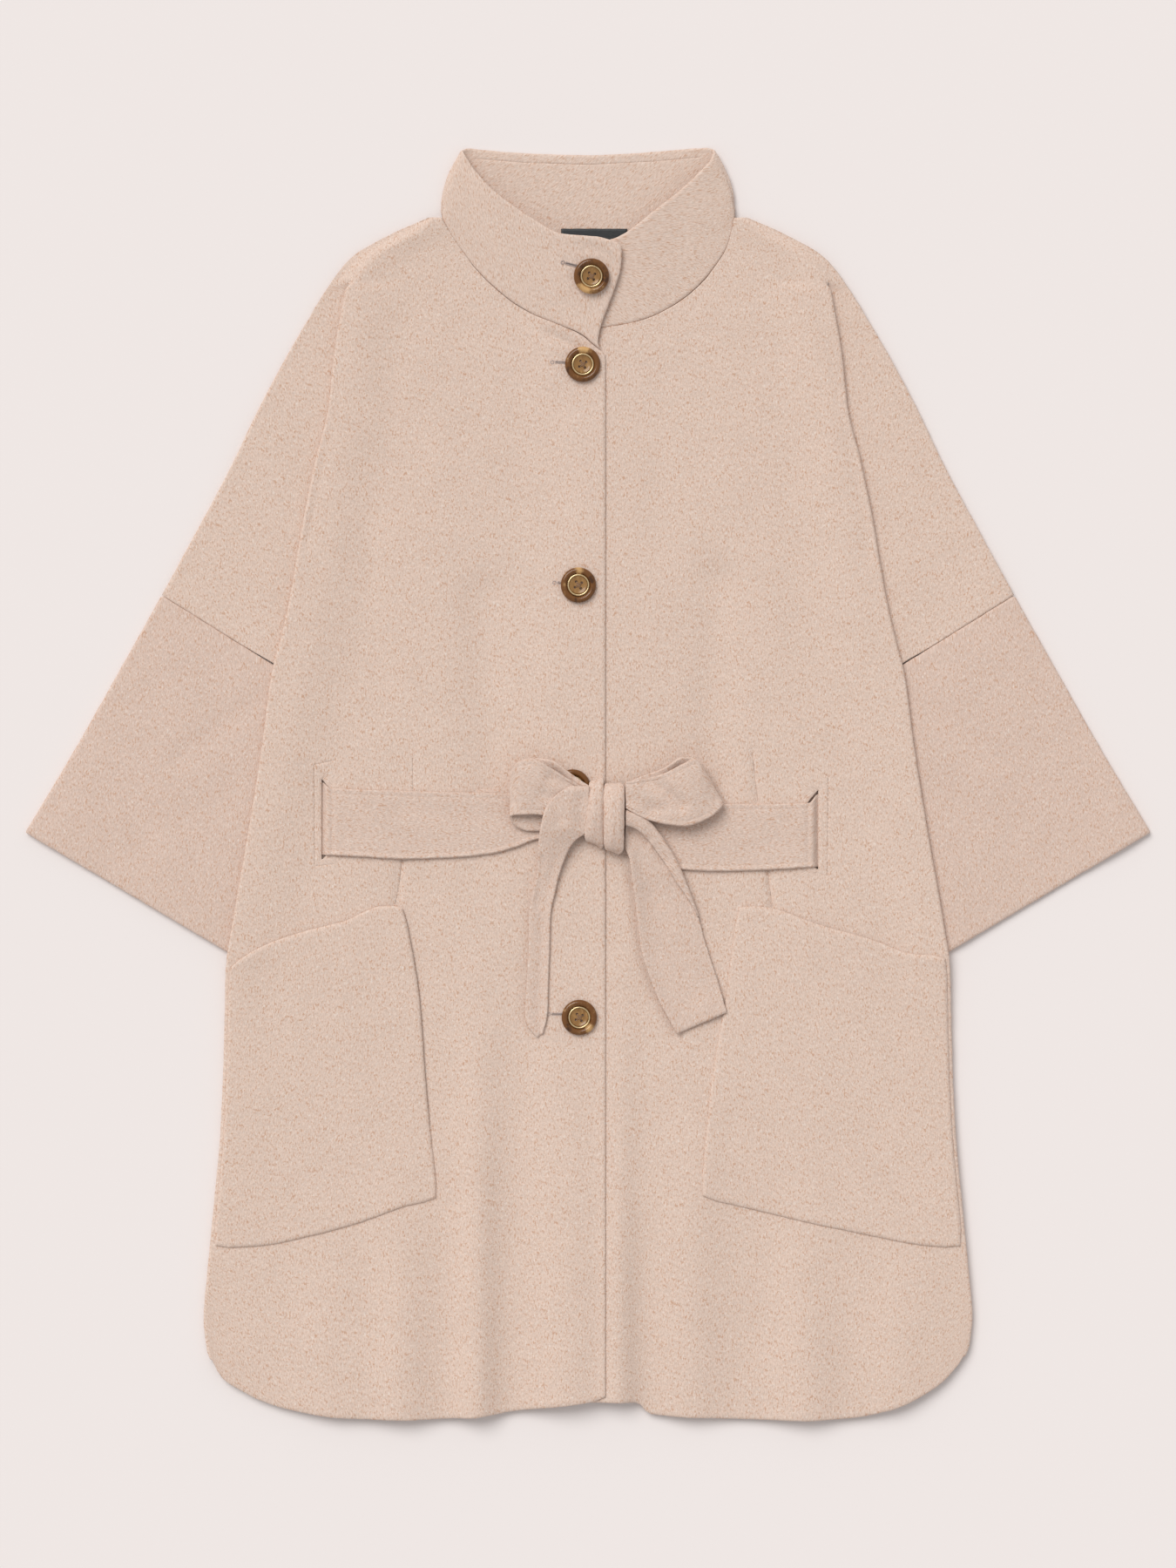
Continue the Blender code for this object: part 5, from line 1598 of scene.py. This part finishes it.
def feed_shader(tree, colour, roughness, relief=None, shine=()):
    """Feeds a material's own shader: relief is (height, strength, depth), shine its fixed values."""
    shader = tree.nodes["Principled BSDF"]
    feed(tree, shader.inputs["Base Color"], colour)
    feed(tree, shader.inputs["Roughness"], roughness)
    if relief:
        height, strength, depth = relief
        made = put(tree, "ShaderNodeBump", {"Height": height, "Strength": strength, "Distance": depth})
        feed(tree, shader.inputs["Normal"], made.outputs[0])
    for name, value in dict(shine).items():
        shader.inputs[name].default_value = value


def make_nap_group():
    """Brushed melange wool: a mottled ground, soft slanting fibres, dark and pale flecks."""
    tree, source, result = open_group(
        "Brushed wool", (("Place", "NodeSocketVector", None),
                         ("Ground", "NodeSocketColor", (0.6, 0.45, 0.35, 1)),
                         ("Dark fleck", "NodeSocketColor", (0.35, 0.23, 0.17, 1)),
                         ("Pale fleck", "NodeSocketColor", (0.85, 0.7, 0.55, 1))), SURFACE)
    place = source["Place"]
    fibre = noise_at(tree, place, 1150, 3, (1, 0.3, 1), NAP_SLANT)
    cross_fibre = noise_at(tree, place, 1300, 2, (1, 0.35, 1), -2.3 * NAP_SLANT)
    grain = noise_at(tree, place, 620, 4)
    clump = noise_at(tree, place, 210, 3, (1, 0.6, 1), NAP_SLANT)
    mottle = noise_at(tree, place, 34, 3)
    hairs = noise_at(tree, place, 760, 2, (1, 0.5, 1), NAP_SLANT)
    dark = band(tree, sums(tree, (hairs, 0.68), (clump, 0.32)), 0.5, 0.65)
    pale = band(tree, noise_at(tree, place, 690, 2, (0.9, 0.45, 1), -NAP_SLANT), 0.56, 0.72)
    tone = sums(tree, (fibre, 0.55), (grain, 0.4), (clump, 0.12), (mottle, 0.08))
    shade = band(tree, tone, 0.38, 0.76, 0.83, 1.15)
    ground = put(tree, "ShaderNodeVectorMath", {0: source["Ground"], "Scale": shade}, operation="SCALE")
    colour = mixed(tree, sums(tree, (dark, 0.95)), ground.outputs[0], source["Dark fleck"])
    colour = mixed(tree, sums(tree, (pale, 0.65)), colour, source["Pale fleck"])
    height = sums(tree, (fibre, 0.45), (cross_fibre, 0.25), (grain, 0.45), (clump, 0.8))
    feed(tree, result["Color"], colour)
    feed(tree, result["Roughness"], band(tree, grain, 0.2, 0.8, 0.86, 1.0))
    feed(tree, result["Height"], height)
    return tree


def wool_material(name, ground, colours):
    """Brushed wool on one kind of piece, with the ground colour given for it; the belt's and the sleeves'
    are the coat's wool painted slightly darker as shade.
    """
    group = bpy.data.node_groups.get("Brushed wool") or make_nap_group()
    made, tree, place = open_material(name, on_cloth=True)
    nap = put(tree, "ShaderNodeGroup",
              {"Place": place, "Ground": (*ground, 1), "Dark fleck": (*colours.fleck_dark, 1),
               "Pale fleck": (*colours.fleck_pale, 1)}, node_tree=group).outputs
    feed_shader(tree, nap["Color"], nap["Roughness"], (nap["Height"], 0.75, NAP_RELIEF), WOOL_SHINE)
    return made


def satin_material(name, colour):
    """The blank neck label: a fine woven satin."""
    made, tree, place = open_material(name, on_cloth=True)
    threads = noise_at(tree, place, 2600, 1, (0.08, 1, 1))
    picks = noise_at(tree, place, 2600, 1, (1, 0.2, 1))
    weave = sums(tree, (threads, 0.6), (picks, 0.4))
    feed_shader(tree, shades(tree, band(tree, threads, 0.35, 0.65), colour, 0.75, 1.5),
                band(tree, picks, 0.3, 0.7, 0.38, 0.55), (weave, 0.5, SATIN_RELIEF))
    return made


def make_resin_group():
    """Mottled horn-like resin: drawn-out clouds of dark, brown and honey."""
    tree, source, result = open_group(
        "Clouded resin", (("Place", "NodeSocketVector", None), ("Zone", "NodeSocketFloat", 0.5),
                          ("Dark", "NodeSocketColor", (0.05, 0.02, 0.01, 1)),
                          ("Brown", "NodeSocketColor", (0.2, 0.09, 0.03, 1)),
                          ("Honey", "NodeSocketColor", (0.6, 0.35, 0.12, 1)),
                          ("Middle", "NodeSocketColor", (0.25, 0.17, 0.09, 1)),
                          ("Glow", "NodeSocketFloat", 0.0)), SURFACE)
    place = source["Place"]
    cloud = noise_at(tree, place, 115, 3, (1, 1, 0.3))
    streak = noise_at(tree, place, 380, 4, (1, 0.35, 0.3), 0.7)
    amount = sums(tree, (cloud, 0.8), (streak, 0.25), (source["Glow"], 0.3))
    rim = mixed(tree, band(tree, amount, 0.36, 0.52), source["Dark"], source["Brown"])
    rim = mixed(tree, band(tree, amount, 0.6, 0.86), rim, source["Honey"])
    middle = mixed(tree, band(tree, sums(tree, (cloud, 0.4), (streak, 0.6)), 0.46, 0.72, 0, 0.5),
                   source["Middle"], source["Honey"])
    middle = mixed(tree, band(tree, streak, 0.34, 0.5, 0.3, 0), middle, source["Brown"])
    inner = band(tree, source["Zone"], 0.53, 0.57, 1, 0)
    feed(tree, result["Color"], mixed(tree, inner, rim, middle))
    feed(tree, result["Roughness"], band(tree, streak, 0.3, 0.7, 0.16, 0.3))
    feed(tree, result["Height"], streak)
    return tree


def resin_material(name, colours):
    """The buttons' resin, told apart by how far a point is from a button's middle."""
    made, tree, place = open_material(name)
    zone, glow = [put(tree, "ShaderNodeAttribute", attribute_name=mark).outputs["Fac"]
                  for mark in ("Zone", "Glow")]
    resin = put(tree, "ShaderNodeGroup",
                {"Place": place, "Zone": zone, "Glow": glow, "Dark": (*colours.resin_dark, 1),
                 "Brown": (*colours.resin_brown, 1), "Honey": (*colours.resin_honey, 1),
                 "Middle": (*colours.resin_middle, 1)}, node_tree=make_resin_group()).outputs
    feed_shader(tree, resin["Color"], resin["Roughness"],
                (resin["Height"], 0.15, RESIN_RELIEF), RESIN_SHINE)
    return made


def brass_material(name, colour):
    """Thin brass, slightly rubbed."""
    made, tree, place = open_material(name)
    rubbed = noise_at(tree, place, 700, 3)
    feed_shader(tree, shades(tree, band(tree, rubbed, 0.35, 0.7), colour, 0.88, 1),
                band(tree, rubbed, 0.3, 0.7, 0.26, 0.34), shine={"Metallic": 1.0})
    return made


def thread_material(name, colour):
    """Twisted sewing thread."""
    made, tree, place = open_material(name)
    twist = noise_at(tree, place, 3200, 2)
    feed_shader(tree, shades(tree, band(tree, twist, 0.35, 0.65), colour, 0.8, 1.15),
                band(tree, twist, 0.3, 0.7, 0.6, 0.85), (twist, 0.5, THREAD_RELIEF))
    return made


def floor_material(name, colour):
    """A plain matt floor, faintly uneven."""
    made, tree, place = open_material(name)
    feed_shader(tree, shades(tree, noise_at(tree, place, 1.3, 2), colour, 0.995, 1), 0.95,
                shine={"Specular IOR Level": 0.05})
    return made


def finish_named(name, build, *values):
    """A material that is made the first time an operator asks for it."""
    return bpy.data.materials.get(name) or build(name, *values)


def wool(context, name="Wool"):
    """The wool of one kind of piece: the coat's own, or a copy of it painted slightly darker as shade for
    the belt and bow, or for the lower sleeves.
    """
    colours = context.scene.coat_colours
    grounds = {"Wool": colours.wool, "Wool belt": colours.wool_belt, "Wool sleeves": colours.wool_sleeves}
    return finish_named(name, wool_material, grounds[name], colours)


# -------- studio
CAMERA_HEIGHT = 3.2      # metres
CAMERA_REACH = 20.0
FRAME_HEIGHT = 1.26      # metres of the garment's plane that the picture's height covers
SENSOR = 36.0
FLOOR_SIZE = 12.0
FLOOR_DROP = 0.0002      # the floor lies this far under the coat
KEY_FROM = (-0.52, 0.74, 1.0)
KEY_ANGLE = radians(38)
KEY_COLOUR = (1.0, 0.985, 0.97)
ROOM_COLOUR = (1.0, 0.99, 0.985, 1)


def add_key_light(power):
    """A large far lamp at the upper left, so that the floor is lit evenly."""
    data = bpy.data.lights.new("Key light", "SUN")
    data.energy = power
    data.angle = KEY_ANGLE
    data.color = KEY_COLOUR
    light = bpy.data.objects.new("Key light", data)
    light.location = KEY_FROM
    light.rotation_euler = (-Vector(KEY_FROM)).to_track_quat("-Z", "Y").to_euler()
    bpy.context.collection.objects.link(light)


def add_room_light(strength):
    """Soft light from all sides."""
    world = bpy.data.worlds.new("Studio")
    world.use_nodes = True
    ground = world.node_tree.nodes["Background"]
    ground.inputs["Color"].default_value = ROOM_COLOUR
    ground.inputs["Strength"].default_value = strength
    bpy.context.scene.world = world


def add_camera():
    """The camera looks straight down from above the coat's middle."""
    data = bpy.data.cameras.new("Camera")
    data.sensor_width = SENSOR
    data.lens = SENSOR * (CAMERA_HEIGHT - BODY_MID * MM) / FRAME_HEIGHT
    data.clip_end = CAMERA_REACH
    camera = bpy.data.objects.new("Camera", data)
    camera.location = (0, 0, CAMERA_HEIGHT)
    bpy.context.collection.objects.link(camera)
    bpy.context.scene.camera = camera


def make_studio(colours, sizes):
    floor = primitive(bpy.ops.mesh.primitive_plane_add, size=FLOOR_SIZE, location=(0, 0, -FLOOR_DROP))
    floor.name = "floor"
    floor.data.materials.append(floor_material("Floor", colours.floor))
    add_key_light(sizes.key_power)
    add_room_light(sizes.room_light)
    bpy.context.scene.view_settings.view_transform = "Standard"
    add_camera()


# -------- settings of the add-on
def colour_setting(name, description, value):
    return FloatVectorProperty(name=name, description=description, default=value, subtype="COLOR",
                               size=3, min=0.0, max=1.0)


class CoatSizes(PropertyGroup):
    """Sizes that a user may change."""
    wall: FloatProperty(name="Cloth thickness", description="Thickness of the double-faced wool",
                        default=WALL * MM, min=0.001, max=0.004, unit="LENGTH", precision=4)
    button_sides: IntProperty(name="Button sides", description="Number of sides round a button",
                              default=BUTTON_SIDES, min=24, max=128)
    key_power: FloatProperty(name="Key light", description="Strength of the lamp at the upper left",
                             default=1.86, min=0.0)
    room_light: FloatProperty(name="Room light", description="Strength of the light from all sides",
                              default=0.545, min=0.0)


class CoatColours(PropertyGroup):
    """Colours that a user may change."""
    wool: colour_setting("Wool", "Ground colour of the coat", (0.73, 0.57, 0.48))
    # the belt's and the sleeves' wool is the coat's own, painted slightly darker: painted shade
    wool_belt: colour_setting("Belt wool painted shade", "Coat wool painted darker as shade, on the belt and bow", (0.7, 0.542, 0.458))
    wool_sleeves: colour_setting("Sleeve wool painted shade", "Coat wool painted darker as shade, on the lower sleeves", (0.703, 0.54, 0.457))
    fleck_dark: colour_setting("Dark flecks", "Darker hairs in the wool", (0.58, 0.36, 0.25))
    fleck_pale: colour_setting("Pale flecks", "Paler hairs in the wool", (0.84, 0.75, 0.68))
    label: colour_setting("Label", "Colour of the blank neck label", (0.018, 0.02, 0.022))
    resin_dark: colour_setting("Dark resin", "Darkest clouds of the buttons", (0.06, 0.022, 0.006))
    resin_brown: colour_setting("Brown resin", "Body of the buttons", (0.165, 0.063, 0.014))
    resin_honey: colour_setting("Honey resin", "Light clouds of the buttons", (0.62, 0.37, 0.15))
    resin_middle: colour_setting("Olive resin", "Middle of the buttons", (0.3, 0.155, 0.05))
    brass: colour_setting("Brass", "Rings of the buttons", (0.84, 0.64, 0.36))
    thread: colour_setting("Thread", "Buttonhole thread", (0.5, 0.41, 0.38))
    button_thread: colour_setting("Button thread", "Thread that holds the buttons", (0.3, 0.17, 0.09))
    floor: colour_setting("Floor", "Plain pale floor", (0.88, 0.825, 0.81))


class CoatOperator:
    """What all the operators of the coat share."""
    bl_options = {"REGISTER", "UNDO"}

    def sizes(self, context):
        return context.scene.coat_sizes

    def colours(self, context):
        return context.scene.coat_colours


class COAT_OT_back(CoatOperator, Operator):
    """Lay the back on the floor"""
    bl_idname = "coat.back"
    bl_label = "Back"

    def execute(self, context):
        make_back(wool(context), self.sizes(context).wall)
        return {"FINISHED"}


class COAT_OT_fronts(CoatOperator, Operator):
    """Lay both fronts, with their slits, darts and folded sides"""
    bl_idname = "coat.fronts"
    bl_label = "Fronts"

    def execute(self, context):
        for front in FRONTS:
            make_front(wool(context), self.sizes(context).wall, *front)
        return {"FINISHED"}


class COAT_OT_sleeves(CoatOperator, Operator):
    """Make the flattened lower sleeves"""
    bl_idname = "coat.sleeves"
    bl_label = "Sleeves"

    def execute(self, context):
        for name, side in (("cloth_sleeve_right", -1), ("cloth_sleeve_left", 1)):
            # the sleeves' wool is the coat's, painted slightly darker as shade
            make_sleeve(name, side, wool(context, "Wool sleeves"), self.sizes(context).wall)
        return {"FINISHED"}


class COAT_OT_collar(CoatOperator, Operator):
    """Make the funnel collar and the blank label behind it"""
    bl_idname = "coat.collar"
    bl_label = "Collar and label"

    def execute(self, context):
        make_collar(wool(context), self.sizes(context).wall)
        make_label(finish_named("Label satin", satin_material, self.colours(context).label))
        return {"FINISHED"}


class COAT_OT_pockets(CoatOperator, Operator):
    """Lay the two patch pockets on the fronts"""
    bl_idname = "coat.pockets"
    bl_label = "Pockets"

    def execute(self, context):
        for pocket in POCKETS:
            make_pocket(wool(context), self.sizes(context).wall, *pocket)
        return {"FINISHED"}


class COAT_OT_belt(CoatOperator, Operator):
    """Thread the belt through its slits, on the fronts and inside the coat"""
    bl_idname = "coat.belt"
    bl_label = "Belt"

    def execute(self, context):
        # the belt's wool is the coat's, painted slightly darker as shade
        make_strips(wool(context, "Wool belt"), self.sizes(context).wall)
        return {"FINISHED"}


class COAT_OT_bow(CoatOperator, Operator):
    """Tie the bow: two loops, two tails and the knot's wraps"""
    bl_idname = "coat.bow"
    bl_label = "Bow"

    def execute(self, context):
        # the bow's wool is the coat's, painted slightly darker as shade
        finish, wall = wool(context, "Wool belt"), self.sizes(context).wall
        make_bow(finish, wall)
        make_knot(finish, wall)
        return {"FINISHED"}


class COAT_OT_buttons(CoatOperator, Operator):
    """Turn the resin buttons, set their brass rings and sew them on"""
    bl_idname = "coat.buttons"
    bl_label = "Buttons"

    def execute(self, context):
        colours = self.colours(context)
        horn = finish_named("Button resin", resin_material, colours)
        metal = finish_named("Ring brass", brass_material, colours.brass)
        thread = finish_named("Button thread", thread_material, colours.button_thread)
        make_buttons(horn, metal, thread, self.sizes(context).button_sides)
        return {"FINISHED"}


class COAT_OT_buttonholes(CoatOperator, Operator):
    """Stitch the keyhole buttonholes"""
    bl_idname = "coat.buttonholes"
    bl_label = "Buttonholes"

    def execute(self, context):
        colours = self.colours(context)
        thread = finish_named("Hole thread", thread_material, colours.thread)
        # the slit's painted shadow: a darker copy of the buttonhole thread
        slit = finish_named("Hole slit", thread_material, [part * SLIT_SHADOW_DARKNESS for part in colours.thread])
        make_buttonholes(thread, slit)
        return {"FINISHED"}


class COAT_OT_studio(CoatOperator, Operator):
    """Add the plain floor, the soft light and the camera above the coat"""
    bl_idname = "coat.studio"
    bl_label = "Studio"

    def execute(self, context):
        make_studio(self.colours(context), self.sizes(context))
        return {"FINISHED"}


PIECE_OPERATORS = (COAT_OT_back, COAT_OT_fronts, COAT_OT_sleeves, COAT_OT_collar, COAT_OT_pockets,
                   COAT_OT_belt, COAT_OT_bow, COAT_OT_buttons, COAT_OT_buttonholes, COAT_OT_studio)


class COAT_PT_panel(Panel):
    """Buttons for every piece of the coat"""
    bl_idname = "COAT_PT_panel"
    bl_label = "Belted coat"
    bl_space_type = "VIEW_3D"
    bl_region_type = "UI"
    bl_category = "Coat"

    def draw(self, context):
        column = self.layout.column()
        for operator in PIECE_OPERATORS:
            column.operator(operator.bl_idname)
        for group in (context.scene.coat_sizes, context.scene.coat_colours):
            for name in group.__annotations__:
                column.prop(group, name)


CLASSES = (CoatSizes, CoatColours, *PIECE_OPERATORS, COAT_PT_panel)


def register():
    for added in CLASSES:
        bpy.utils.register_class(added)
    bpy.types.Scene.coat_sizes = PointerProperty(type=CoatSizes)
    bpy.types.Scene.coat_colours = PointerProperty(type=CoatColours)


def unregister():
    del bpy.types.Scene.coat_colours
    del bpy.types.Scene.coat_sizes
    for added in reversed(CLASSES):
        bpy.utils.unregister_class(added)


def main():
    register()
    for piece in ("back", "fronts", "sleeves", "collar", "pockets", "belt", "bow", "buttons",
                  "buttonholes", "studio"):
        getattr(bpy.ops.coat, piece)()


if __name__ == "__main__":
    main()
